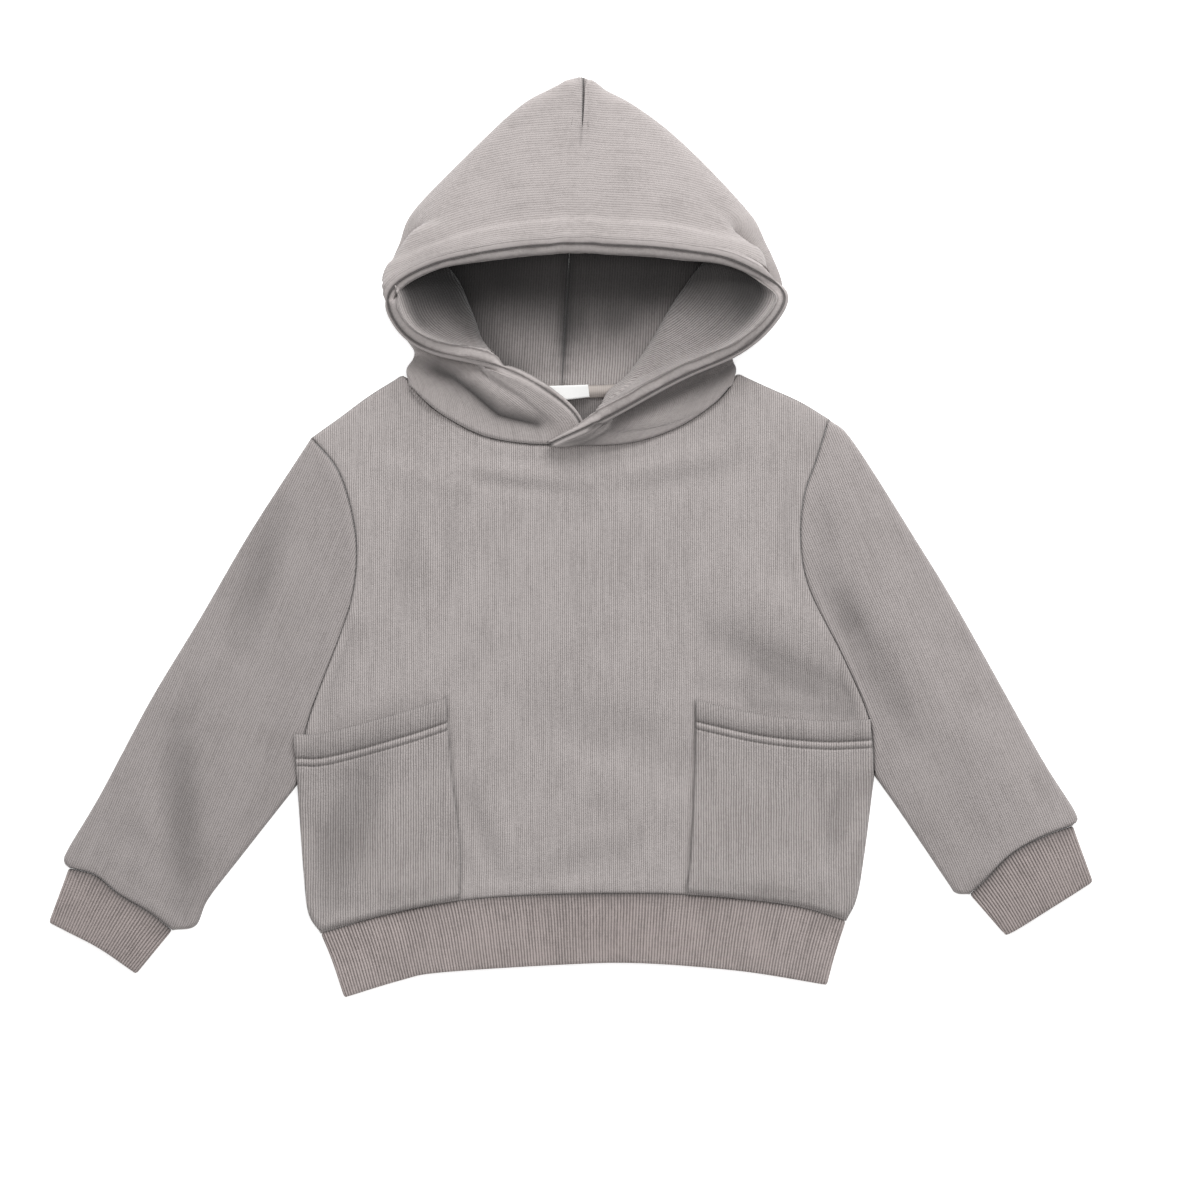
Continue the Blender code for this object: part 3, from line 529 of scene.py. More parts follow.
def knit_group():
    """Wales and stitches from the cloth's UV map, with mottle and fuzz, painted shade in the
    valleys between wales, and the painted shade of the Shade input.
    """
    tree = bpy.data.node_groups.new("knit_stitches", "ShaderNodeTree")
    for name, kind, value in KNIT_INPUTS:
        made = tree.interface.new_socket(name=name, in_out="INPUT", socket_type=kind)
        made.default_value = value
    for name, kind in KNIT_OUTPUTS:
        tree.interface.new_socket(name=name, in_out="OUTPUT", socket_type=kind)

    def plus(first, second):
        return maths(tree, "ADD", first, second)

    def times(first, second):
        return maths(tree, "MULTIPLY", first, second)

    inputs = tree.nodes.new("NodeGroupInput").outputs
    uv = tree.nodes.new("ShaderNodeUVMap")
    uv.uv_map = "cloth"
    split = tree.nodes.new("ShaderNodeSeparateXYZ")
    tree.links.new(uv.outputs["UV"], split.inputs[0])
    across, along = split.outputs[0], split.outputs[1]
    place = tree.nodes.new("ShaderNodeTexCoord").outputs["Object"]

    # the wales: valleys between them, painted dark as shade, and loops that slant away from their
    # middle
    column = plus(across, times(noise(tree, place, WAVER_SCALE), WAVER))
    column = maths(tree, "FRACT", maths(tree, "DIVIDE", column, inputs["Wale"]))
    off_centre = times(maths(tree, "ABSOLUTE", maths(tree, "SUBTRACT", column, 0.5)), 2.0)
    valley = maths(tree, "POWER", off_centre, VALLEY_POWER)
    slant = plus(maths(tree, "DIVIDE", along, inputs["Stitch"]), times(off_centre, LOOP_SLANT))
    loop = times(maths(tree, "COSINE", times(slant, 2 * math.pi)), 0.5)

    # fuzz, grain and patches in the dye, and streaks along the yarn
    fuzz = noise(tree, place, FUZZ_SCALE, 3.0)
    patches = noise(tree, place, PATCH_SCALE, 4.0)
    grain = noise(tree, place, GRAIN_SCALE)
    stretched = tree.nodes.new("ShaderNodeCombineXYZ")
    tree.links.new(times(across, STREAK_ACROSS), stretched.inputs[0])
    tree.links.new(times(along, STREAK_ALONG), stretched.inputs[1])
    streaks = noise(tree, stretched.outputs[0], 1.0, 1.0)
    # how far the colour goes to Valley: painted shade in the wale valleys, a faint painted
    # highlight on the loops, and streaks, patches, grain and fuzz that are the cloth's own tone
    dark = times(valley, inputs["Contrast"])
    for pattern, strength in ((streaks, inputs["Mottle"]), (loop, LOOP_LIGHT),
                              (patches, inputs["Mottle"]), (grain, inputs["Mottle"]),
                              (fuzz, FUZZ_DARK)):
        dark = plus(dark, times(pattern, strength))
    clamp = tree.nodes.new("ShaderNodeClamp")
    tree.links.new(dark, clamp.inputs["Value"])

    colour = blend_colours(tree, clamp.outputs[0], inputs["Face"], inputs["Valley"])
    height = maths(tree, "SUBTRACT", times(loop, LOOP_HEIGHT), valley)
    outputs = tree.nodes.new("NodeGroupOutput").inputs
    # the painted shade of the Shade input darkens the colour towards DEEP
    tree.links.new(blend_colours(tree, inputs["Shade"], colour, DEEP), outputs["Color"])
    tree.links.new(plus(height, times(fuzz, FUZZ_HEIGHT)), outputs["Height"])
    tree.links.new(plus(times(fuzz, ROUGH_FUZZ), ROUGH), outputs["Roughness"])
    return tree


knit = knit_group()
print("knit group has", len(knit.nodes), "nodes")


# %% Finishes of the pieces
def finish(name, face, valley, wale, stitch, contrast, mottle, bump, sheen):
    """A matt cloth: the knit group with its own colours, sizes in metres and strengths."""
    made = bpy.data.materials.new(name)
    made.use_nodes = True
    tree = made.node_tree
    shader = tree.nodes["Principled BSDF"]
    set_inputs(shader, {"Specular IOR Level": 0.2, "Sheen Weight": sheen, "Sheen Roughness": 0.6})
    cloth = tree.nodes.new("ShaderNodeGroup")
    cloth.node_tree = knit
    set_inputs(cloth, {"Face": (*face, 1), "Valley": (*valley, 1), "Wale": wale,
                       "Stitch": stitch, "Contrast": contrast, "Mottle": mottle})
    shade = tree.nodes.new("ShaderNodeAttribute")
    shade.attribute_name = "shade"
    relief = tree.nodes.new("ShaderNodeBump")
    set_inputs(relief, {"Strength": 1.0, "Distance": bump})
    tree.links.new(shade.outputs["Fac"], cloth.inputs["Shade"])
    tree.links.new(cloth.outputs["Color"], shader.inputs["Base Color"])
    tree.links.new(cloth.outputs["Roughness"], shader.inputs["Roughness"])
    tree.links.new(cloth.outputs["Height"], relief.inputs["Height"])
    tree.links.new(relief.outputs["Normal"], shader.inputs["Normal"])
    return made


PATCH_FACE, SWEAT_VALLEY = (0.443, 0.405, 0.395), (0.258, 0.232, 0.225)
# valley is the colour of the painted shade between wales
FINISHES = [
    # name, face, valley, wale, stitch, contrast, mottle, bump, sheen
    ("sweatshirt_knit", (0.457, 0.418, 0.408), SWEAT_VALLEY,
     0.00136, 0.0019, 1.1, 0.7, 0.0003, 0.25),
    # the same sweatshirt cloth, painted darker on the raised hood, which catches more light:
    # painted shade
    ("hood_knit_painted_shade", (0.407, 0.371, 0.362), (0.240, 0.216, 0.209),
     0.00155, 0.0019, 0.42, 0.7, 0.0002, 0.2),
    ("hood_lining_knit", PATCH_FACE, SWEAT_VALLEY, 0.00168, 0.0019, 1.25, 0.9, 0.0004, 0.2),
    # the same sweatshirt cloth, painted darker on the sleeves: painted shade
    ("sleeve_knit_painted_shade", (0.418, 0.381, 0.373), (0.240, 0.215, 0.208),
     0.00145, 0.0019, 0.85, 0.55, 0.0003, 0.15),
    ("pocket_knit", PATCH_FACE, SWEAT_VALLEY, 0.00160, 0.0021, 1.2, 0.85, 0.00045, 0.2),
    ("rib_knit", (0.400, 0.345, 0.332), (0.200, 0.172, 0.165),
     0.00195, 0.0018, 1.15, 0.9, 0.0003, 0.15),
    # the same rib cloth as the cuffs, painted lighter on the hem band: painted light
    ("hem_rib_knit_painted_light", (0.450, 0.390, 0.376), (0.225, 0.194, 0.186),
     0.00195, 0.0018, 1.15, 0.9, 0.0003, 0.15),
    ("tape_twill", (0.50, 0.45, 0.42), (0.27, 0.24, 0.22),
     0.0012, 0.0012, 0.5, 0.1, 0.0001, 0.0),
    ("label_satin", (0.83, 0.83, 0.82), (0.66, 0.66, 0.66),
     0.0006, 0.0006, 0.2, 0.05, 0.00003, 0.0),
]
finishes = {row[0]: finish(*row) for row in FINISHES}
print("finishes:", ", ".join(finishes))

# %% [markdown]
# ## Body
# The back lies on the table. The front lies over it, a little higher in the middle, where the
# two layers hold air. At its seams the cloth rolls down to the stitches, and folds show where
# the sleeves and the pockets pull on it.

# %% Height of the front
# y, and the x of the front's left or right edge there
LEFT_LIMIT = [(-253, -160), (-214, -171), (-158, -175), (-117, -168), (-66, -149), (-8, -137),
              (45, -150), (64, -166)]
RIGHT_LIMIT = [(-245, 176), (-200, 188), (-152, 194), (-117, 191), (-78, 175), (-4, 147),
               (50, 157), (76, 165)]
ARMPIT_Y, ARMHOLE_REACH = -155, 225  # beside the sleeves the front stays high to its edge


def front_height(x, y):
    """Underside of the front panel: low at the side seams and shoulders, higher between."""
    left = np.interp(y, *zip(*LEFT_LIMIT))
    right = np.interp(y, *zip(*RIGHT_LIMIT))
    share = np.clip((x - left) / (right - left), 0, 1)
    crown = 1 - np.abs(2 * share - 1) ** 4
    arm = np.sin(math.pi * np.clip((y - ARMPIT_Y) / ARMHOLE_REACH, 0, 1)) ** 0.8
    shoulder = np.minimum(line_distance(x, y, SHOULDER_LEFT[0], SHOULDER_LEFT[-1])[0],
                          line_distance(x, y, SHOULDER_RIGHT[0], SHOULDER_RIGHT[-1])[0])
    slope = 1 - np.exp(-shoulder / SHOULDER_FADE)
    return FRONT_LOW + FRONT_RISE * (1 - (1 - crown) * (1 - arm)) * slope


print("air under the middle:", round(float(front_height(0.0, -80.0)) - FRONT_LOW, 1), "mm")

# %% Folds of the front
FRONT_FOLDS = [
    # start, end, half width, height
    ((94, -66), (190, -109), 12, -3.9),
    ((84, -96), (150, -102), 9, -1.6),
    ((70, -46), (150, -70), 15, -0.8),
    ((112, -34), (176, -70), 12, 1.2),
    ((-103, 25), (-103, -50), 8, -1.1),
    ((-76, 15), (-80, -40), 7, -0.9),
    ((-90, 20), (-91, -45), 6, 0.8),
    ((-120, 46), (-60, 30), 7, 1.0),
    ((-74, 46), (10, 36), 6, 1.2),
    ((-60, 36), (0, 29), 5, -1.0),
    ((16, 38), (90, 54), 7, 1.1),
    ((40, 30), (110, 48), 8, -1.2),
    ((-66, -160), (-46, -215), 7, -1.6),
    ((-52, -160), (-34, -205), 7, 1.0),
    ((-20, -110), (60, -132), 18, -1.4),
    ((-10, -150), (55, -168), 16, 1.0),
    ((40, -196), (-20, -215), 9, -1.2),
    ((60, -60), (20, -100), 20, 1.0),
    ((-148, -70), (-160, -118), 9, -1.6),
    ((148, 40), (138, -20), 10, -1.2),
]
POCKET_LEFT_FOLDS = [
    ((-130, -146), (-155, -226), 20, -3.6),
    ((-106, -146), (-114, -212), 13, 1.4),
    ((-124, -226), (-84, -218), 8, 0.8),
]
POCKET_RIGHT_FOLDS = [
    ((174, -158), (166, -204), 9, -2.0),
    ((150, -140), (120, -190), 14, 1.2),
    ((100, -150), (96, -200), 12, -0.3),
    ((100, -218), (160, -226), 26, 2.2),
]
BODY_FOLDS = FRONT_FOLDS + POCKET_LEFT_FOLDS + POCKET_RIGHT_FOLDS
SOFT_SHADOWS = [
    # start, end, reach, depth: painted shadows above the pockets' mouths and beside the right
    # armhole
    ((116, -107), (178, -112), 6, 0.22),
    ((-150, -119), (-92, -104), 5, 0.10),
    ((160, -34), (185, -92), 7, 0.12),
]
FOLD_MARGIN = 12  # folds fade out over this distance from a seam
print("folds on the body:", len(BODY_FOLDS))


# %% Panels in plan, and their seams
SEAM_DARK, SHOULDER_DARK = 0.16, 0.38  # depth of a body seam's line, low down and high up
SWELL_RISE, SWELL_PLACE, SWELL_WIDTH = 0.3, 6, 3.5


def edge_drop(distance, reach=2.0, depth=1.2):
    """How far a wall thins out at a seam."""
    return depth * (1 - np.clip(distance / reach, 0, 1)) ** 2


def seam_swell(distance):
    """The soft roll beside a seam, where the seam allowances lie under the cloth."""
    return SWELL_RISE * hump(distance, SWELL_PLACE, SWELL_WIDTH)


def body_seam(distance, y):
    """The dark line of a body or sleeve seam, stronger towards the shoulders."""
    depth = SEAM_DARK + (SHOULDER_DARK - SEAM_DARK) * fade(y, -70, 10)
    return seam_line(distance, 0.8, 1.0) * depth


def panel_plan(neck, columns, rows):
    """The front or back in plan. They differ at the neck only."""
    low = edge((HEM_SEAM, 1.0))
    high = edge((SHOULDER_LEFT, SHOULDER_SHARE), (neck, 1 - 2 * SHOULDER_SHARE),
                (SHOULDER_RIGHT, SHOULDER_SHARE))
    left = edge((SIDE_LEFT, SIDE_SHARE), (ARMHOLE_LEFT, 1 - SIDE_SHARE))
    right = edge((SIDE_RIGHT, SIDE_SHARE), (ARMHOLE_RIGHT, 1 - SIDE_SHARE))
    return patch(low, high, left, right, stops(columns, PANEL_SPAN),
                 stops(rows, PANEL_SPAN))


def on_height(plan, height):
    """A plan with a height at each of its points."""
    return np.concatenate([plan, height[..., None]], -1)


print("panels share", len(HEM_SEAM), "points along the hem seam")

# %% Front panel
SIDES = ("left", "right", "low", "high")
plan = panel_plan(NECKLINE, 165, 120)
x, y = plan[..., 0], plan[..., 1]
seams = edge_distance(on_height(plan, np.zeros(x.shape)), SIDES)
folds = soft_folds(x, y, BODY_FOLDS) * fade(seams, 0, FOLD_MARGIN)
height = np.maximum(front_height(x, y) + folds + seam_swell(seams), FRONT_LOW)
pocket_edges = np.minimum.reduce([
    line_distance(x, y, start, end)[0] for pocket in (POCKET_LEFT, POCKET_RIGHT)
    for start, end in zip(pocket["inner"], pocket["inner"][1:])])
# besides the dark seam lines, painted shade: shadow beside the pockets' inner edges, shade in fold
# dips, and shadows above the pockets' mouths and by the right armhole
shadows = sum(run_line(x, y, (start, end), reach, depth)
              for start, end, reach, depth in SOFT_SHADOWS)
shade = (body_seam(seams, y) + seam_line(pocket_edges, 1.3, 0.4) + valley_shade(folds)
         + shadows)
front_panel = wall("front_panel_cloth", on_height(plan, height), 0.0, WALL - edge_drop(seams),
                   x, y, finishes["sweatshirt_knit"], shade)

# %% Back panel
plan = panel_plan(BACK_NECK, 80, 60)
x, y = plan[..., 0], plan[..., 1]
flat = on_height(plan, np.zeros(x.shape))
seams = edge_distance(flat, SIDES)
# painted shadow inside the neck, under the hood's collar
neck_shadow = 0.6 * mound(x, y, (5, 78), (35, 22))
back_panel = wall("back_panel_cloth", flat, 0.0, WALL - edge_drop(seams), x, y,
                  finishes["sweatshirt_knit"], np.maximum(seam_line(seams, 0.8, 0.3), neck_shadow))

# %% [markdown]
# ## Sleeves, cuffs and hem band
# All of them are tubes pressed flat: a ring with two folded edges, swept along the tube. The
# ring's points are spread by length, so the rib knit can have its ribs as real relief. Folds
# lie on the upper layer only, because the lower one rests on the table.

# %% Flat tubes
def flat_ring(width, crown, cells=60, turns=8):
    """(share of the width, z) round a flat tube, from its first edge over the top."""
    r = EDGE_RADIUS
    inset = r / width
    angles = np.linspace(0, math.pi / 2, turns // 2 + 1)
    shares = np.linspace(inset, 1 - inset, cells + 1)
    top = 2 * r + crown * (1 - np.abs(2 * (shares - inset) / (1 - 2 * inset) - 1) ** 3)
    first = np.stack([(r - r * np.cos(angles)) / width, r + r * np.sin(angles)], -1)
    over = np.stack([shares, top], -1)
    under = np.stack([shares[::-1], np.zeros(cells + 1)], -1)
    far = first[::-1] * (-1, 1) + (1, 0)
    back = first * (-1, -1) + (1, 2 * r)
    near = first[::-1] * (1, -1) + (0, 2 * r)
    return np.vstack([first[:-1], over, far[1:], back[1:-1], under, near[1:]])


def tube_surface(start, end, sides, lengths, crown, points):
    """Rings of a flat tube between two seams, each with the same points, evenly by length."""
    edges = [edge((run, 1.0)) for run in (start, end, *sides)]
    rings = []
    for v in lengths:
        across = patch(*edges, np.array([0.0, 1.0]), np.array([v]))[:, 0]
        ring = flat_ring(np.linalg.norm(across[1] - across[0]), crown(v))
        spots = patch(*edges, ring[:, 0], np.array([v]))[:, 0]
        line = np.column_stack([spots, ring[:, 1]])
        rings.append(at_shares(line, np.linspace(0, 1, points + 1)))
    return np.stack(rings, 1)


def shifted(points, gap):
    """A run moved by gap, which leaves a seam's gap to the piece that shares it."""
    return [(x + gap[0], y + gap[1]) for x, y in points]


def span(first, second):
    """The distance between two points."""
    return np.linalg.norm(np.array(first) - np.array(second))


TOP_LAYER = (4.0, 5.6)  # heights between which a tube's upper layer begins
print("ring of a flat tube:", len(flat_ring(100, CUFF_CROWN)), "points")

# %% Folds of the sleeves
# start, end, half width, height
SLEEVE_LEFT_FOLDS = [
    ((-252, -122), (-247, -234), 12, -3.4),
    ((-278, -150), (-270, -215), 11, 1.2),
    ((-226, -120), (-222, -200), 11, 1.1),
    ((-188, 14), (-212, -66), 12, -2.4),
    ((-168, 0), (-182, -70), 10, 1.0),
    ((-162, -100), (-186, -160), 8, 1.2),
    ((-174, -118), (-205, -190), 9, -0.6),
    ((-294, -182), (-262, -208), 9, -0.8),
    ((-222, -60), (-246, -100), 11, 1.0),
]
SLEEVE_RIGHT_FOLDS = [
    ((166, -30), (186, -66), 10, -3.2),
    ((184, -62), (216, -124), 12, -2.6),
    ((198, -40), (240, -120), 13, 1.2),
    ((163, 20), (166, -20), 8, -1.4),
    ((205, 10), (232, -40), 11, -0.5),
    ((232, -66), (258, -74), 9, -0.6),
    ((236, -130), (264, -188), 12, -0.6),
    ((262, -120), (290, -176), 11, 1.2),
    ((214, -150), (238, -196), 9, 1.0),
]


print("folds on the sleeves:", len(SLEEVE_LEFT_FOLDS) + len(SLEEVE_RIGHT_FOLDS))

# %% Sleeves
SLEEVE_GRAIN = math.radians(23)


def sleeve(name, armhole, over, under, cuff_seam, away, folds, grain, painted_shade):
    """A tapered tube. Its last argument is how deep painted shade darkens it, and over what
    distance from the upper edge that shade grows to full.
    """
    start = shifted(list(reversed(armhole)), away)
    sides = ([start[0]] + over[1:], [start[-1]] + under[1:])
    surface = tube_surface(start, cuff_seam, sides, stops(110, span(sides[0][0], sides[0][-1])),
                           lambda v: SLEEVE_CROWN * (1 - 0.35 * v ** 6), 150)
    x, y, z = surface[..., 0], surface[..., 1], surface[..., 2]
    on_top = fade(z, *TOP_LAYER)
    ends = edge_distance(surface, ("low", "high"))
    rise = soft_folds(x, y, folds) * fade(ends, 0, FOLD_MARGIN)
    folded = surface.copy()
    folded[..., 2] += on_top * (rise + seam_swell(ends))

    # the knit runs down the sleeve, and goes on round its folded edges
    turn = np.linspace(0, 1, surface.shape[0])[:, None]
    outward = np.where(np.abs(turn - 0.5) > 0.25, 1, -1) * math.copysign(1, over[0][0])
    over_edge = np.clip(2 * EDGE_RADIUS - z, 0, 2 * EDGE_RADIUS) * outward
    across = x * math.cos(grain) + y * math.sin(grain) + over_edge
    along = y * math.cos(grain) - x * math.sin(grain)

    # dark seam lines, then painted shade in fold dips and over the sleeve, growing away from its
    # upper edge
    depth, reach = painted_shade
    from_overarm = line_distance(x, y, over[0], over[-1])[0]
    shade = body_seam(ends, y) + valley_shade(rise) + depth * fade(from_overarm, -1, reach)
    return wall(name, folded, -WALL, -edge_drop(ends, 2.4, 1.4) * on_top, across, along,
                finishes["sleeve_knit_painted_shade"], shade, closed=True)


sleeve_left = sleeve("sleeve_left_cloth", ARMHOLE_LEFT, OVERARM_LEFT, UNDERARM_LEFT,
                     CUFF_SEAM_LEFT, (-0.15, -0.1), SLEEVE_LEFT_FOLDS, -SLEEVE_GRAIN, (0.09, 0))
sleeve_right = sleeve("sleeve_right_cloth", ARMHOLE_RIGHT, OVERARM_RIGHT, UNDERARM_RIGHT,
                      CUFF_SEAM_RIGHT, (0.15, -0.1), SLEEVE_RIGHT_FOLDS, SLEEVE_GRAIN,
                      (0.06, 70))

# %% Ribbed tubes
RIB_PITCH = 1.95
RIB_CELLS = 6  # points round one rib
RIB_DEPTH = 0.7
RIB_AT_SEAM, RIB_EASE = 1.35, 0.5  # share of the depth at the seam, and how much of it is lost
RIB_OPENING = 30  # over this length


def ribbed_tube(name, start, end, sides, crown, rows, folds, cloth, middle=None):
    """A tube of rib. middle is the centre and half width of a stretch where painted shade is
    stronger: below the seam, and a little over the whole band.
    """
    ribs = round(2 * span(start[0], start[-1]) / RIB_PITCH)
    surface = tube_surface(start, end, sides, stops(rows, span(start[0], end[0]), (0.6, 1.4, 2.6)),
                           lambda v: crown, ribs * RIB_CELLS)
    x, y = surface[..., 0], surface[..., 1]
    surface[..., 2] += fade(surface[..., 2], *TOP_LAYER) * soft_folds(x, y, folds)
    turn = np.arange(ribs * RIB_CELLS + 1) / RIB_CELLS
    ridge = np.abs(np.cos(math.pi * turn)) ** 0.7 - 1
    from_seam = edge_distance(surface, ("low",))
    pulled = RIB_AT_SEAM - RIB_EASE * np.clip(from_seam / RIB_OPENING, 0, 1)
    relief = RIB_DEPTH * ridge[:, None] * pulled
    relief = relief - edge_drop(edge_distance(surface, ("low", "high")), 2.0, 0.9)
    share = 1.0 if middle is None else hump(x, *middle)
    # the dark seam line, painted shadow below it where the body or sleeve overhangs the rib, and
    # in the middle stretch a little painted shade all over
    shade = seam_line(from_seam, 1.8, 0.2 + 0.3 * share) + seam_line(from_seam, 5.0, 0.18) * share
    if middle is not None:
        shade += 0.06 * share
    across = np.broadcast_to(((turn + 0.5) * RIB_PITCH)[:, None], x.shape)
    return wall(name, surface, -RIB_WALL, relief, across, reach_along(surface, 1),
                finishes[cloth], shade, closed=True)


def cuff(name, seam, end, away, folds):
    """A ribbed tube with straight folded edges."""
    start = shifted(seam, away)
    sides = ([start[0], end[0]], [start[-1], end[-1]])
    return ribbed_tube(name, start, end, sides, CUFF_CROWN, 12, folds, "rib_knit")


cuff_left = cuff("cuff_left_rib", CUFF_SEAM_LEFT, CUFF_END_LEFT, (-0.05, -0.1),
                 [((-300, -228), (-306, -258), 6, -0.5)])
cuff_right = cuff("cuff_right_rib", CUFF_SEAM_RIGHT, CUFF_END_RIGHT, (0.05, -0.1),
                  [((290, -210), (298, -236), 6, -0.5)])

# %% Hem band
HEM_FOLDS = [
    # start, end, half width, height
    ((-10, -232), (-6, -268), 12, 0.5),
    ((80, -232), (92, -272), 9, -1.0),
    ((60, -232), (66, -268), 8, 0.5),
    ((-70, -240), (-84, -276), 10, -0.5),
    ((130, -240), (140, -278), 8, 0.4),
]
start = shifted(HEM_SEAM, (0, -0.1))
hem_sides = ([start[0]] + HEM_SIDE_LEFT[1:], [start[-1]] + HEM_SIDE_RIGHT[1:])
hem_band = ribbed_tube("hem_band_rib", start, HEM_END, hem_sides, HEM_CROWN, 13, HEM_FOLDS,
                       "hem_rib_knit_painted_light", (10, 95))

# %% [markdown]
# ## Patch pockets
# A pocket is the same cloth, laid on the front. Its top edge is turned in and held by two rows
# of stitching, which sink into the cloth and leave a small ridge between them.

# %% Pockets
STITCH = 3.0
TURNED_RISE, BETWEEN_RISE, PUCKER_RISE = 1.7, 0.6, 0.22
ROW_DEPTHS, ROW_WIDTHS = (1.1, 0.8), (0.8, 0.7)
POCKET_LENGTHS = np.concatenate([np.linspace(0, 0.8, 50, endpoint=False),
                                 np.linspace(0.8, 0.985, 40, endpoint=False),
                                 np.linspace(0.985, 1, 8)])  # closest at the stitched top


def pocket_relief(x, from_top, rows):
    """How far the turned-in top stands up, with two sunk rows of stitching across it."""
    turned = TURNED_RISE * np.sin(math.pi * np.clip(from_top / rows[0], 0, 1)) ** 0.7
    between_rows = BETWEEN_RISE * hump(from_top, sum(rows) / 2, 1.6)
    sunk = sum(depth * hump(from_top, row, width)
               for row, depth, width in zip(rows, ROW_DEPTHS, ROW_WIDTHS))
    puckers = PUCKER_RISE * np.sin(x * 2 * math.pi / STITCH) * hump(from_top, rows[0], 4)
    return turned + between_rows - sunk + puckers


def pocket_shade(x, from_top, from_inner, dips, rows):
    """Dark stitches, a dark inner edge, painted shade in fold dips, and painted shade over the
    turned-in top and at its edge.
    """
    stitches = sum(hump(from_top, row, 0.6) for row in rows)
    stitches *= 0.35 + 0.25 * np.sin(x * 2 * math.pi / STITCH)
    # painted shade over the turned-in top band, and along its top edge
    turned_in = 0.11 * (1 - fade(from_top, rows[0] - 2, rows[0])) + seam_line(from_top, 2.0, 0.15)
    return np.maximum.reduce([stitches, seam_line(from_inner, 0.9, 0.4),
                              valley_shade(dips) + turned_in])


def pocket(name, edges, inner, rows):
    """A patch that follows the front. inner is its side towards the middle of the body."""
    outer = "right" if inner == "left" else "left"
    runs = {inner: edges["inner"], outer: edges["side"]}
    plan = patch(edge((edges["hem"], 1.0)), edge((edges["top"], 1.0)),
                 edge((runs["left"][::-1], 1.0)), edge((runs["right"][::-1], 1.0)),
                 stops(110, 100), POCKET_LENGTHS)
    x, y = plan[..., 0], plan[..., 1]
    flat = on_height(plan, np.zeros(x.shape))
    sides, from_top, low_end, from_side, from_inner = (
        edge_distance(flat, names)
        for names in (("left", "right"), ("high",), ("low",), (outer,), (inner,)))

    # it lies on the front, and stands off it at its mouth and at its outer top corner
    dips = soft_folds(x, y, BODY_FOLDS) * fade(np.minimum(from_side, low_end), 0, FOLD_MARGIN)
    base = np.maximum(front_height(x, y) + dips, FRONT_LOW) + SEAM_GAP + WALL + PATCH_GAP
    base += np.exp(-from_top / 9) * fade(sides, -4, 14)
    base += 2.0 * hump(from_side, 0, 7) * fade(y, -168, -148)
    high = POCKET_WALL + pocket_relief(x, from_top, rows)
    high -= edge_drop(np.minimum(sides, from_top), 2.0, 1.5) + edge_drop(low_end, 2.6, 1.4)
    return wall(name, on_height(plan, base), 0.0, high, x, y, finishes["pocket_knit"],
                pocket_shade(x, from_top, from_inner, dips, rows))


pocket_left = pocket("pocket_left_cloth", POCKET_LEFT, "right", (15.2, 20.2))
pocket_right = pocket("pocket_right_cloth", POCKET_RIGHT, "left", (13.0, 18.0))

# %% [markdown]
# ## Neck tape and label
# A narrow twill tape covers the back neck seam inside, and a small woven label is caught under
# it. The label is blank.

# %% Neck tape
spots = at_shares(smooth_run(BACK_NECK), np.linspace(0.1, 0.9, 121))
section = smooth_run([(a, b, 0) for a, b in TAPE_SECTION], 6)
surface = np.zeros((len(spots), len(section), 3))
surface[..., 0] = spots[:, None, 0]
surface[..., 1] = spots[:, None, 1] + section[None, :, 0]
surface[..., 2] = section[None, :, 1]
tape_edge = edge_distance(surface, ("low", "high"))
neck_tape = wall("neck_tape_twill", surface, 0.0, TAPE_WALL - edge_drop(tape_edge, 1.0, 0.5),
                 reach_along(surface, 0), reach_along(surface, 1), finishes["tape_twill"],
                 seam_line(tape_edge, 0.8))

# %% Neck label
LABEL_WAVE, LABEL_TURNS = 0.5, 5.0
u, v = np.linspace(0, 1, 41), np.linspace(0, 1, 17)
top_left, top_right, low_left, low_right = LABEL_CORNERS
plan = patch(edge(([low_left, low_right], 1.0)), edge(([top_left, top_right], 1.0)),
             edge(([low_left, top_left], 1.0)), edge(([low_right, top_right], 1.0)), u, v)
surface = on_height(plan, LABEL_Z + LABEL_WAVE * np.outer(np.sin(u * LABEL_TURNS), 1 - v))
label_edge = edge_distance(surface, SIDES)
neck_label = wall("neck_label_satin", surface, 0.0, LABEL_WALL - edge_drop(label_edge, 0.8, 0.4),
                  plan[..., 0], plan[..., 1], finishes["label_satin"],
                  np.zeros(label_edge.shape))

# %% [markdown]
# ## Hood
# The hood is two layers of the same cut, outer and lining, joined at the face edge. Laid open,
# each side of the hood folds over twice: an inner crease beside the face opening, and the
# outer fold that is its silhouette. One surface between the layers holds all of this. It is
# given by sections from the face edge to the centre-back seam, and each layer is a wall on one
# side of it.

# %% Paths of a section
SIDE, SEAM = 12, 16  # columns of the silhouette and of the centre-back seam
PLAIN_COLUMNS = [0, 4, 8, 10, 11]  # columns of a section that has no crease
RUN_STEPS = 12


def seam_x(y):
    """The x of the centre-back seam at one y."""
    return float(np.interp(y, *zip(*SEAM_X)))


def unit(vector):
    """A vector at length 1."""
    return vector / max(np.linalg.norm(vector), 1e-9)


def point(x, y, z):
    """A point as an array, which can be reckoned with."""
    return np.array([x, y, z], float)


def fold(before, at, after, high, low):
    """Three points round a folded edge: in at height high, out at height low."""
    radius = abs(high - low) / 2
    spot = np.array(at[:2], float)
    inward = unit(np.array(before[:2], float) - spot)
    back = unit(np.array(after[:2], float) - spot)
    apex = spot + unit(inward + back) * FOLD_INSET
    enter, leave = apex + inward * radius, apex + back * radius
    return [point(*enter, high), point(*apex, (high + low) / 2), point(*leave, low)]


def spread(points, cells):
    """Evenly spaced points on the curve through some points."""
    return list(at_shares(smooth_run(points, RUN_STEPS), np.linspace(0, 1, cells + 1)))


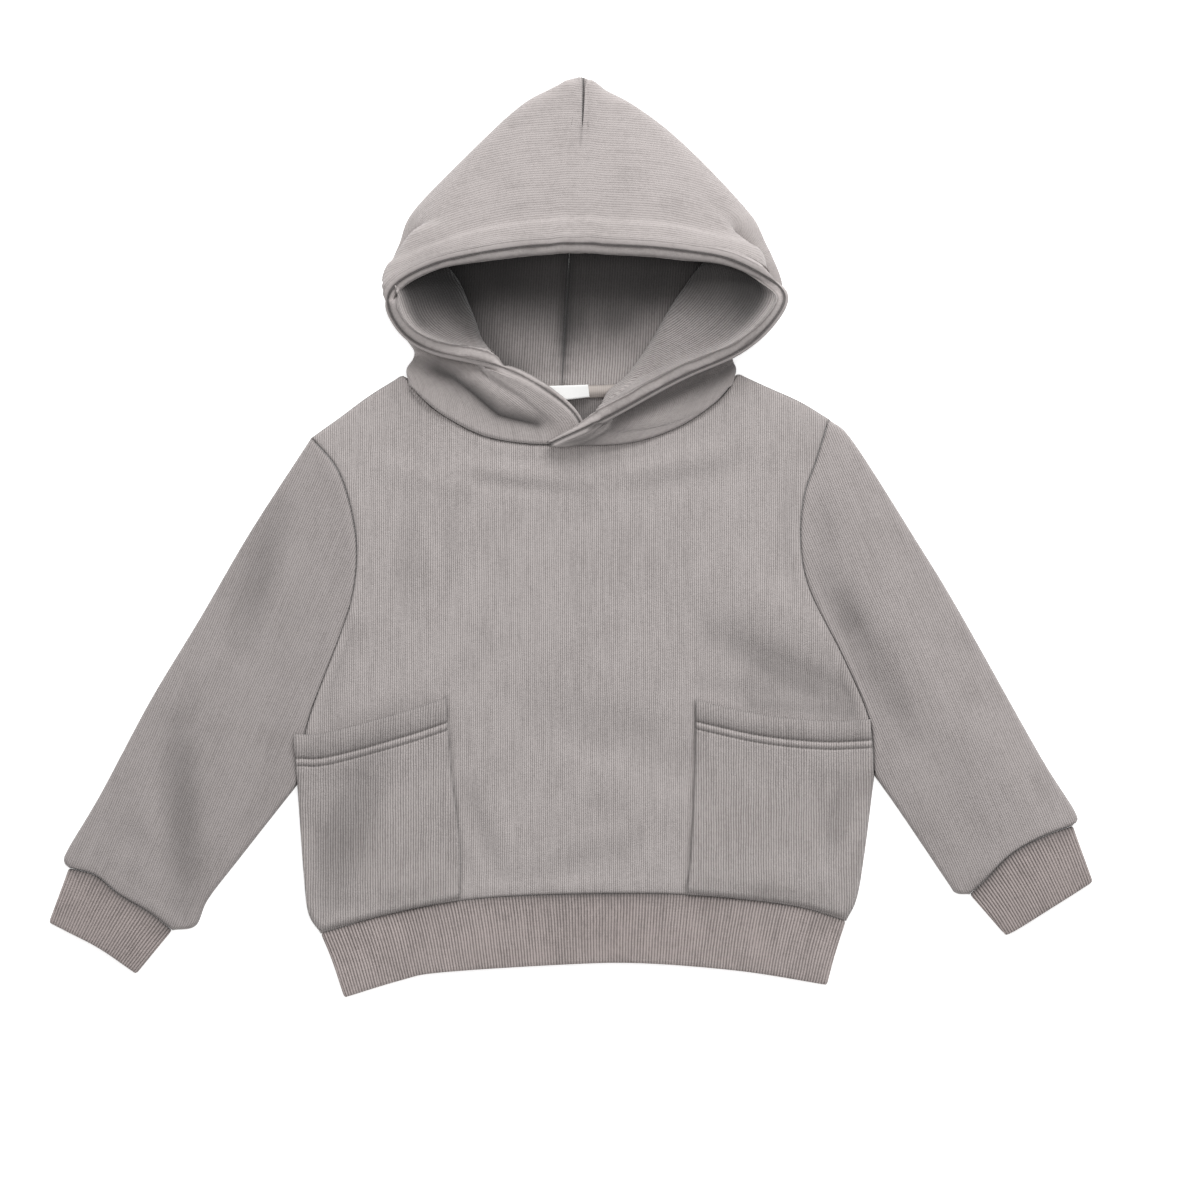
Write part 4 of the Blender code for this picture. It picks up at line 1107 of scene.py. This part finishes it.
def stations(points, columns):
    """A curve through points, each of which keeps its own column."""
    dense = smooth_run(points, RUN_STEPS)
    path = []
    for k, cells in enumerate(np.diff(columns)):
        part = dense[k * RUN_STEPS:(k + 1) * RUN_STEPS + 1]
        path += list(at_shares(part, np.arange(cells) / cells))
    return path + [dense[-1]]


def off_rim(rim, toward):
    """The first three points of a section, across the roll of the face edge."""
    rim, toward = np.array(rim, float), np.array(toward, float)
    reach = np.linalg.norm(toward - rim)
    way = (toward - rim) / reach
    return [rim, rim + way * min(ROLL_WIDTH * 0.45, reach * 0.3),
            rim + way * min(ROLL_WIDTH, reach * 0.6)]


def down_to(start, end, u, bow):
    """A point at share u of a run that stays high at first and then drops."""
    spot = start + (end - start) * u
    spot[2] = end[2] + (start[2] - end[2]) * (1 - u ** bow)
    return spot


def roof_path(rim, side):
    """Nine points from the rim to the silhouette, where there is no crease between."""
    start, end = np.array(rim, float), np.array(side, float)
    return [down_to(start, end, u, ROOF_BOW) for u in np.linspace(0, 1, 9)]


print("silhouette in column", SIDE, "and seam in column", SEAM)

# %% Sections of the hood
NECK_CENTRE = (0.0, 110.0)


def hood_section(row):
    """The seventeen points of one section, from the rim to the centre-back seam."""
    rim, corner, crease, mid, side, seam_y = row
    seam = point(seam_x(seam_y), seam_y, FLOOR_Z)
    if crease is None:
        side_fold = fold(rim, side, seam, side[2], FLOOR_Z)
        roof = roof_path(rim, side_fold[0])
        start = off_rim(rim, roof[2])
        path = (start + spread([start[2]] + roof[3:], 9)[1:])[:11] + side_fold
    elif crease[2] is not None:
        side_fold = fold(mid, side, seam, PLEAT_LOW_Z, FLOOR_Z)
        path = stations([rim, corner, crease, mid, side_fold[0]], PLAIN_COLUMNS) + side_fold[1:]
    else:
        layer = mid[2] or PLEAT_LOW_Z
        side_fold = fold(mid, side, seam, PLEAT_LOW_Z, FLOOR_Z)
        if corner is None:
            crease_fold = fold(rim, crease, mid, layer + STEP_Z, layer)
            start = off_rim(rim, crease_fold[0])
            path = start + spread([start[2], crease_fold[0]], 5)[1:5] + crease_fold
        elif corner[2] is not None:
            crease_fold = fold(corner, crease, mid, layer + STEP_Z, layer)
            path = stations([rim, corner, crease_fold[0]], [0, 4, 7])[:7] + crease_fold
        else:
            corner_fold = fold(rim, corner, crease, ROOF_SIDE_Z, PLEAT_HIGH_Z)
            crease_fold = fold(corner, crease, mid, PLEAT_HIGH_Z, layer)
            start = off_rim(rim, corner_fold[0])
            path = start + corner_fold + [(corner_fold[2] + crease_fold[0]) / 2] + crease_fold
        path = path + [point(mid[0], mid[1], layer)] + side_fold
    return path + [side_fold[2] + (seam - side_fold[2]) * part for part in (1 / 3, 2 / 3, 1)]


def sew_to_neck(path, sign):
    """Puts the first section's points just inside the front and back necklines."""
    start = FRONT_OVERLAP[0] if sign < 0 else FRONT_OVERLAP[1]
    end = NECK_END if sign < 0 else 1 - NECK_END
    shares = np.linspace(0, 1, SIDE)
    heights = at_shares(np.array(path[:SIDE]), shares)[:, 2]
    spots = at_shares(smooth_run(NECKLINE), start + (end - start) * shares)
    for k, spot in enumerate(spots):
        inward = unit(np.array(NECK_CENTRE) - spot)
        path[k] = point(*(spot + inward * NECK_INSET), heights[k])
    for k in range(1, SEAM - SIDE + 1):
        share = NECK_END + (0.5 - NECK_END) * (k - 1) / (SEAM - SIDE - 1)
        spot = at_shares(smooth_run(BACK_NECK), np.array([share if sign < 0 else 1 - share]))[0]
        path[SIDE + k] = point(spot[0], spot[1] + NECK_INSET, FLOOR_Z)
    path[SEAM][0] = seam_x(path[SEAM][1])
    path[SIDE] = path[SIDE - 1] + point(sign * 0.4, 5.0, (FLOOR_Z - PLEAT_LOW_Z) / 2)
    path[SIDE + 1][1] += 2.2


print("sections are", SEAM + 1, "points long")

# %% Crown of the hood
KNEE = 11  # column at which the roof turns down over the peak
ROOF_BOW, CROWN_BOW = 1.35, 1.2  # above 1, a roof stays high at first


def crown_section(rim, knee, end, knee_column):
    """A path from the rim up the roof to a knee, and on to a point on or above the dart."""
    start, knee, end = (np.array(p, float) for p in (rim, knee, end))
    near_rim = [0.0, 0.06, 0.14]
    rest = knee_column - len(near_rim) + 1
    shares = near_rim + [0.14 + 0.86 * k / rest for k in range(1, rest + 1)]
    beyond = SEAM - knee_column
    return ([down_to(start, knee, u, CROWN_BOW) for u in shares]
            + [knee + (end - knee) * k / beyond for k in range(1, beyond + 1)])


def top_sections(sign):
    """The two sections that end at the peak and just over it, on one side of the dart."""
    middle, y, z = CROWN_RIM
    apex = crown_section((middle + sign * 11, y, z), (middle + 2 + sign * 5, 285.2, 9.4),
                         (middle + 3, 290.0, 5.4), KNEE)
    over = crown_section((middle + sign * 5.5, y, z), (middle + 2 + sign * 5.5, 273.5, 12.2),
                         (middle + 4, 286.2, 9.6), KNEE)
    return [apex, over]


def hood_cage():
    """Sections from the left front over the crown to the right front."""
    left, right = ([hood_section(row) for row in rows] for rows in (LEFT_SECTIONS, RIGHT_SECTIONS))
    sew_to_neck(left[0], -1)
    sew_to_neck(right[0], 1)
    middle = crown_section(CROWN_RIM, DART_END, DART_END, SEAM - 1)
    middle[SEAM - 1] = (middle[SEAM - 2] + middle[SEAM - 1]) / 2
    rows = left + top_sections(-1) + [middle] + (right + top_sections(1))[::-1]
    return np.array(rows).transpose(1, 0, 2)


cage = hood_cage()
print("hood cage", cage.shape)

# %% [markdown]
# ## From sections to a net
# Thirty-seven sections give the folds, but a knit bends in soft curves. So the cage is refined
# with the same smooth curves as the cut edges and then evened out, a little more where two
# neighbouring sections differ most. Its neck and its centre-back seam stay where they are sewn.

# %% Refined net
REFINE = 6
PACE = 0.6  # share of the way to its neighbours' mean that a point moves in one round


def neighbour_mean(net):
    """The mean of the four neighbours of each inner point."""
    return (net[:-2, 1:-1] + net[2:, 1:-1] + net[1:-1, :-2] + net[1:-1, 2:]) / 4


def relax(net, rounds):
    """Evens out a net and keeps its neck and its centre-back seam where they are sewn."""
    for _ in range(rounds):
        inner = neighbour_mean(net)
        rim = (net[0, :-2] + net[0, 2:]) / 2
        net = net.copy()
        net[1:-1, 1:-1] += PACE * (inner - net[1:-1, 1:-1])
        net[0, 1:-1] += PACE * (rim - net[0, 1:-1])
    return net


def ease(net, centre, reach, first_column, last_column, rounds):
    """Relaxes the net further round one cage row, where neighbouring sections differ most."""
    row = np.arange(net.shape[1]) / REFINE
    column = (np.arange(net.shape[0]) / REFINE)[:, None]
    in_columns = band(column, (first_column, first_column + 1), (last_column - 1, last_column))
    share = (plateau(row, centre, reach)[None] * in_columns)[1:-1, 1:-1, None]
    net = net.copy()
    for _ in range(rounds):
        net[1:-1, 1:-1] += PACE * share * (neighbour_mean(net) - net[1:-1, 1:-1])
    return net


def fair_crown(net):
    """Lays the middle of the roof on one fitted surface, so that it has no streaks."""
    x, y, z = (net[..., k] for k in range(3))
    roof = (np.abs(x - CROWN_X) < 45) & (y > 190) & (y < 272) & (z > 9)
    across, up = (x - CROWN_X) / 40, (y - 230) / 40
    terms = np.stack([across ** a * up ** b for a in range(4) for b in range(4 - a)], -1)
    fit = np.linalg.lstsq(terms[roof], z[roof], rcond=None)[0]
    share = plateau(x, CROWN_X, 30) * band(y, (190, 202), (258, 272)) * fade(z, 8, 10)
    net[..., 2] += share * (terms @ fit - z)


CROWN_X = 5
EASED = [
    # cage row, reach in rows, first column, last column, rounds
    (11, 2.0, 0.5, 12.5, 40),
    (25, 2.0, 0.5, 12.5, 40),
    (26.4, 1.6, 0.5, 12.5, 30),
    (33.5, 1.6, 0.3, 5, 20),
]
net = relax(refine(refine(cage, 0, REFINE), 1, REFINE), 8)
for area in EASED:
    net = ease(net, *area)
fair_crown(net)
print("hood net", net.shape)

# %% Closer columns at the face edge and at the centre-back seam
RIM_COLUMNS = np.array([0, 0.3, 0.6, 0.95, 1.35, 1.8, 2.3, 2.9, 3.5, 4.2, 5.0, 5.9])
SEAM_COLUMNS = np.array([5.4, 4.2, 3.2, 2.4, 1.75, 1.25, 0.85, 0.55, 0.3, 0.12, 0])
columns = np.arange(net.shape[0], dtype=float)
wanted = np.concatenate([RIM_COLUMNS, columns[7:-7], columns[-1] - SEAM_COLUMNS])
low_column = np.minimum(wanted.astype(int), len(columns) - 2)
part = (wanted - low_column)[:, None, None]
net = net[low_column] * (1 - part) + net[low_column + 1] * part
cage_column = (wanted / REFINE)[:, None]
cage_row = np.arange(net.shape[1]) / REFINE
print("hood net with closer columns", net.shape)

# %% [markdown]
# ## Peak, collar and face edge
# Evening out rounds the peak off, so it is pulled out again, and the collar gets its crease.
# Along the face edge outer and lining are turned in on each other: both curl up towards it,
# thin out at the seam itself and stand full behind it, where the seam allowances lie.

# %% Peak, crease of the collar and sag of the roof
PEAK_PULL, LEFT_PULL, RIGHT_PULL = 4.0, -1.6, -1.0  # of the top edge, at and beside the peak
ROOF_WIDENING = 0.036
SIDE_BULGE = 2.2
ROOF_SAG = 1.6
COLLAR_FOLDS = [
    # start, end, half width, height: first the crease, then the roll above it
    ((-94, 110), (-74, 102), 3.2, -2.2),
    ((-76, 103), (-62, 93), 3.4, -3.2),
    ((-62, 93), (-46, 79.5), 3.6, -3.6),
    ((-46, 79.5), (-22, 73), 3.2, -2.6),
    ((-66, 108), (-48, 93), 5.0, 1.6),
    ((-48, 93), (-24, 82), 4.5, 1.6),
]
CREASE_RUNS = [row[:2] for row in COLLAR_FOLDS[:4]]


def pull_peak(net):
    """Draws the smoothed peak back out to its point, and the sides of the roof with it."""
    x, y = net[..., 0], net[..., 1]
    pull = (PEAK_PULL * plateau(x, 6, 10.5) + LEFT_PULL * hump(x, -15, 8)
            + RIGHT_PULL * hump(x, 24, 7))
    net[..., 1] += pull * fade(y, 255, 292)
    net[..., 0] += ROOF_WIDENING * band(y, (186, 206), (262, 290)) * (x - 4)
    net[..., 0] += SIDE_BULGE * mound(x, y, (134, 158), (12, 15))


pull_peak(net)
left_collar = band(cage_row, (0.2, 1.0), (4.5, 6.5))
middle_column = (np.arange(net.shape[0]) / REFINE)[:, None]
collar = left_collar * (1 - fade(middle_column, 9.5, 11.5))
net[..., 2] += collar * soft_folds(net[..., 0], net[..., 1], COLLAR_FOLDS)
over_face = band(cage_row, (8, 12), (24, 28))
net[..., 1] -= ROOF_SAG * over_face * hump(reach_along(net, 0), 0, 60)
from_rim = reach_along(net, 0)
from_seam = from_rim[-1:] - from_rim
print("longest section", round(float(from_rim[-1].max())), "mm")

# %% Face edge
CURL_REACH = 4.0
CURL_DRAW = 0.4  # share by which points beside the edge are drawn to it
LEAN_WIDE, LEAN_NEAR = 1.2, 1.6
ALLOWANCE_RISE, SEAM_PUCKER, PUCKER_PITCH = 0.9, 0.3, 9
FACE_EDGE = [
    # row, rise of the edge, outer roll, lining roll
    (0, 0.5, 0.35, 0.35),
    (2, 2.0, 0.8, 0.7),
    (4, 3.2, 1.0, 1.2),
    (6, 3.2, 0.9, 1.2),
    (8, 2.6, 0.8, 1.0),
    (10, 3.6, 0.8, 0.9),
    (12, 5.0, 1.0, 1.35),
    (24, 5.0, 1.0, 1.35),
    (26, 3.6, 1.0, 0.7),
    (28, 2.6, 1.2, 1.0),
    (30, 3.2, 1.0, 1.2),
    (32, 3.2, 1.0, 1.2),
    (35, 2.0, 0.8, 0.7),
    (36, 1.0, 0.35, 0.35),
]
# distance from the rim, and the thickness of the outer or the lining there
OUTER_EDGE = [(0, 0.3), (0.5, 1.8), (1, 2.8), (2, 3.9), (4, 4.6), (8, 4.7), (12, 4.5),
              (14.5, 4.0), (16, 2.7), (18, 2.1)]
LINING_EDGE = [(0, 0.3), (0.5, 2.4), (1, 4.2), (2, 6.4), (3.5, 7.2), (5.5, 6.8), (8, 5.4),
               (11, 4.0), (15, 2.6), (18, 2.1)]
edge_rows, *edge_values = zip(*FACE_EDGE)
rise, outer_roll, lining_roll = (np.interp(cage_row, edge_rows, row) for row in edge_values)
near_rim = np.exp(-from_rim / CURL_REACH)
surface = net.copy()
surface[..., :2] -= (net[..., :2] - net[:1, :, :2]) * (CURL_DRAW * near_rim)[..., None]
surface[..., 2] += rise * near_rim
forward = net[:1] - net[6:7]
forward[..., 2] = 0
for _ in range(6):
    forward[:, 1:-1] = (forward[:, :-2] + forward[:, 1:-1] * 2 + forward[:, 2:]) / 4
forward /= np.maximum(np.linalg.norm(forward, axis=-1, keepdims=True), 1e-9)

# the layer that looks up there rolls forward over the edge, so that it doesn't cross the other
facing = grid_normals(surface, False)
upward = fade(facing[..., 2:3], -0.35, 0.35)
lean = LEAN_WIDE * hump(from_rim, 0, 5) + LEAN_NEAR * hump(from_rim, 0, 2.2)
lean = forward * lean[..., None]
outer_way = facing + lean * (1 - upward)
lining_way = -facing + lean * upward
outer_way /= np.linalg.norm(outer_way, axis=-1, keepdims=True)
lining_way /= np.linalg.norm(lining_way, axis=-1, keepdims=True)


def edge_wall(profile, roll):
    """Thickness of a layer: thin at the seam of the face edge, full over the turned-in edge."""
    thick = np.interp(from_rim, *zip(*profile))
    return np.minimum(thick, WALL) + np.maximum(thick - WALL, 0) * roll


groove = edge_drop(from_seam, 2.4, 1.5)
allowance = ALLOWANCE_RISE * hump(from_seam, 5, 2.6)
puckers = SEAM_PUCKER * np.sin(surface[..., 1] * 2 * math.pi / PUCKER_PITCH)
puckers *= hump(from_seam, 0, 8) * (1 - fade(surface[..., 1], 120, 150))
outer_wall = edge_wall(OUTER_EDGE, outer_roll) - groove
lining_wall = edge_wall(LINING_EDGE, lining_roll) - groove + allowance + puckers
print("hood stands", round(float(surface[..., 2].max()), 1), "mm high")

# %% [markdown]
# ## Knit and shade of the hood
# Wales follow the face edge, and past the silhouette they follow the centre-back seam. Soft
# studio light alone leaves the hollows and folds of this hood paler than those of the real,
# deeper hood. So each point carries a shade that darkens its colour: the dark lines of its
# seams, and painted shade worked out from its distance to rolls and hollows.

# %% Run of the knit on the hood
PANEL_REACH = 240.0
past_side = fade(cage_column, 12.8, 13.8) * (1 - fade(cage_row, 12, 13.5)
                                             + fade(cage_row, 22.5, 24))
across = from_rim * (1 - past_side) + (PANEL_REACH - from_seam) * past_side
along = np.broadcast_to(np.mean(reach_along(surface, 1), axis=0)[None, :], from_rim.shape)
print("cloth round the hood:", round(float(along[0, -1])), "mm")

# %% Shade of the outer
x, y, z = (surface[..., k] for k in range(3))
ROLL_FOOT = [
    # start, end, depth: the shadow under the right front's roll
    ((-2, 59), (26, 73), 0.45),
    ((26, 73), (51, 86), 0.62),
    ((51, 86), (87, 102), 0.66),
    ((87, 102), (103, 110), 0.6),
]
DART_TAIL = ((7, 264), (6, 250))
rim_shade = seam_line(from_rim, 0.2, 0.7) * (1 - 0.6 * band(cage_row, (1.5, 3), (4.5, 6)))
roll_foot = np.maximum.reduce([run_line(x, y, (start, end), 6, depth)
                               for start, end, depth in ROLL_FOOT])
roll_foot *= fade(from_rim, 9, 13) * (1 - fade(z, 14, 17))
# painted shadow on the outer just under the right front's face edge
under_rim = 0.4 * band(from_rim, (0.4, 1.5), (8, 12)) * band(cage_row, (28.5, 30), (35.2, 36))
dart_tail = run_line(x, y, DART_TAIL, 1.0, 0.22) * fade(z, 12, 14)
# painted shadow in the crease of the left collar
crease = np.maximum.reduce([run_line(net[..., 0], net[..., 1], run, 5.0, 0.72)
                            for run in CREASE_RUNS])
crease *= left_collar * (1 - fade(middle_column, 11, 12))
outer_shade = np.maximum.reduce([rim_shade, seam_line(from_seam, 0.5), crease, roll_foot,
                                 under_rim, dart_tail])
print("darkest shade of the outer", round(float(outer_shade.max()), 2))

# %% Shade of the lining
HOLLOWS = [
    # centre, half widths, depth: painted shade where the inside of the hood lies deepest
    ((-80, 162), (34, 19), 0.9),
    ((-48, 166), (24, 15), 0.6),
    ((113, 155), (14, 17), 0.55),
    ((29, 139), (16, 12), 0.42),
    ((3, 138), (11, 18), 0.5),
    ((48, 156), (14, 16), 0.3),
    ((-98, 141), (9, 13), 0.35),
    ((-28, 108), (18, 13), 0.2),
]
LEFT_PLEAT = ((-78, 160), (-40, 106))
FACING_WIDTH = 13  # the turned-in edge ends here, in a faint line
# painted shade inside the hood: in the hollows above, deeper towards the crown and away from the
# face edge, lighter on the right flank, and on the lining's roll under the roof's rim
hollow = np.maximum.reduce([depth * mound(x, y, centre, widths)
                            for centre, widths, depth in HOLLOWS]) * fade(from_rim, 6, 12)
inside = 0.9 * fade(y, 92, 166) * fade(from_rim, 5, 16)
inside *= 1 - 0.4 * mound(x, y, (66, 132), (22, 16))
inside = np.maximum(inside, 0.4 * fade(from_rim, 0.3, 3) * over_face)
# painted shade in the trough along the centre-back seam, broad towards the crown, with the seam's
# narrow dark line
trough = 0.6 * hump(from_seam, 0, 4.5) * fade(y, 98, 128) + 0.3 * hump(from_seam, 0, 1.0)
# painted shadow on the floor beside the left pleat
under_pleat = run_line(x, y, LEFT_PLEAT, 11, 0.55) * fade(from_rim, 20, 30)
inside = 1 - (1 - inside) * (1 - hollow) * (1 - trough) * (1 - under_pleat)
# painted shade: a faint line where the turned-in edge ends
facing_line = seam_line(from_rim - FACING_WIDTH, 1.1, 0.05) * (1 - over_face)
lining_shade = np.maximum.reduce([rim_shade, inside, facing_line])
print("darkest shade of the lining", round(float(lining_shade.max()), 2))

# %% Hood layers
hood_outer = wall("hood_outer_cloth", surface, PAIR_GAP, PAIR_GAP + outer_wall, across, along,
                  finishes["hood_knit_painted_shade"], outer_shade, normal=outer_way)
hood_lining = wall("hood_lining_cloth", surface, PAIR_GAP, PAIR_GAP + lining_wall, across, along,
                   finishes["hood_lining_knit"], lining_shade, normal=lining_way)

# %% [markdown]
# ## Studio
# A plain pale floor and wide, soft lights from above, a little stronger from the hood's side.

# %% Floor and lights
FLOOR_SIZE = 8.0
floor_shape = bmesh.new()
bmesh.ops.create_grid(floor_shape, x_segments=1, y_segments=1, size=FLOOR_SIZE / 2)
floor_mesh = bpy.data.meshes.new("floor")
floor_shape.to_mesh(floor_mesh)
floor_shape.free()
floor = bpy.data.objects.new("floor", floor_mesh)
bpy.context.scene.collection.objects.link(floor)
pale = bpy.data.materials.new("pale_floor")
pale.use_nodes = True
set_inputs(pale.node_tree.nodes["Principled BSDF"], {
    "Base Color": (0.9, 0.9, 0.9, 1), "Roughness": 0.9,
    "Emission Color": (1, 1, 1, 1), "Emission Strength": 0.55})
floor_mesh.materials.append(pale)

world = bpy.data.worlds.new("studio")
world.use_nodes = True
set_inputs(world.node_tree.nodes["Background"], {"Color": (1, 1, 1, 1), "Strength": 0.475})
bpy.context.scene.world = world


def soft_light(name, place, size, power):
    """A square lamp that looks at the middle of the garment."""
    data = bpy.data.lights.new(name, "AREA")
    data.size = size
    data.energy = power
    lamp = bpy.data.objects.new(name, data)
    lamp.location = place
    lamp.rotation_euler = (-lamp.location).to_track_quat("-Z", "Y").to_euler()
    bpy.context.scene.collection.objects.link(lamp)
    print(name, power, "W")


soft_light("key_light", (0.5, 2.5, 1.6), 1.5, 76)
soft_light("top_light", (0.2, 0.3, 3.0), 1.4, 24)

# %% [markdown]
# ## The pieces on the body
# Every piece stands for its solid and rides on the one body. Each is a sheet that was cut flat,
# so the table lists its cut size too, all round on a tube, and its slot; nothing here passes
# those on.

PIECES = [
    # piece, node, slot, cut width and length in metres, share of that box, what it rests on
    (front_panel, "front_panel", "sweatshirt_cloth", (0.37, 0.36), 0.78, ["back_panel_cloth"]),
    (back_panel, "back_panel", "sweatshirt_cloth", (0.37, 0.36), 0.82, []),
    (sleeve_left, "sleeve_left", "sweatshirt_cloth", (0.225, 0.33), 0.72, []),
    (sleeve_right, "sleeve_right", "sweatshirt_cloth", (0.20, 0.32), 0.72, []),
    (cuff_left, "cuff_left", "rib_cloth", (0.154, 0.038), None, []),
    (cuff_right, "cuff_right", "rib_cloth", (0.156, 0.040), None, []),
    (hem_band, "hem_band", "rib_cloth", (0.67, 0.044), None, []),
    (pocket_left, "pocket_left", "sweatshirt_cloth", (0.105, 0.147), 0.86, ["front_panel_cloth"]),
    (pocket_right, "pocket_right", "sweatshirt_cloth", (0.12, 0.14), 0.86, ["front_panel_cloth"]),
    (neck_tape, "neck_tape", "neck_tape_cloth", (0.175, 0.010), None, ["back_panel_cloth"]),
    (neck_label, "neck_label", "label_cloth", (0.031, 0.012), 0.8, ["neck_tape_twill"]),
    (hood_outer, "hood_outer", "sweatshirt_cloth", (0.56, 0.19), 0.78, ["back_panel_cloth"]),
    (hood_lining, "hood_lining", "sweatshirt_cloth", (0.56, 0.19), 0.78, ["hood_outer_cloth"]),
]
for piece, node, slot_name, cut, share, rests_on in PIECES:
    area = None if share is None else cut[0] * cut[1] * share
    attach(piece, "root")
    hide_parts(node)
print("declared", len(PIECES), "pieces")
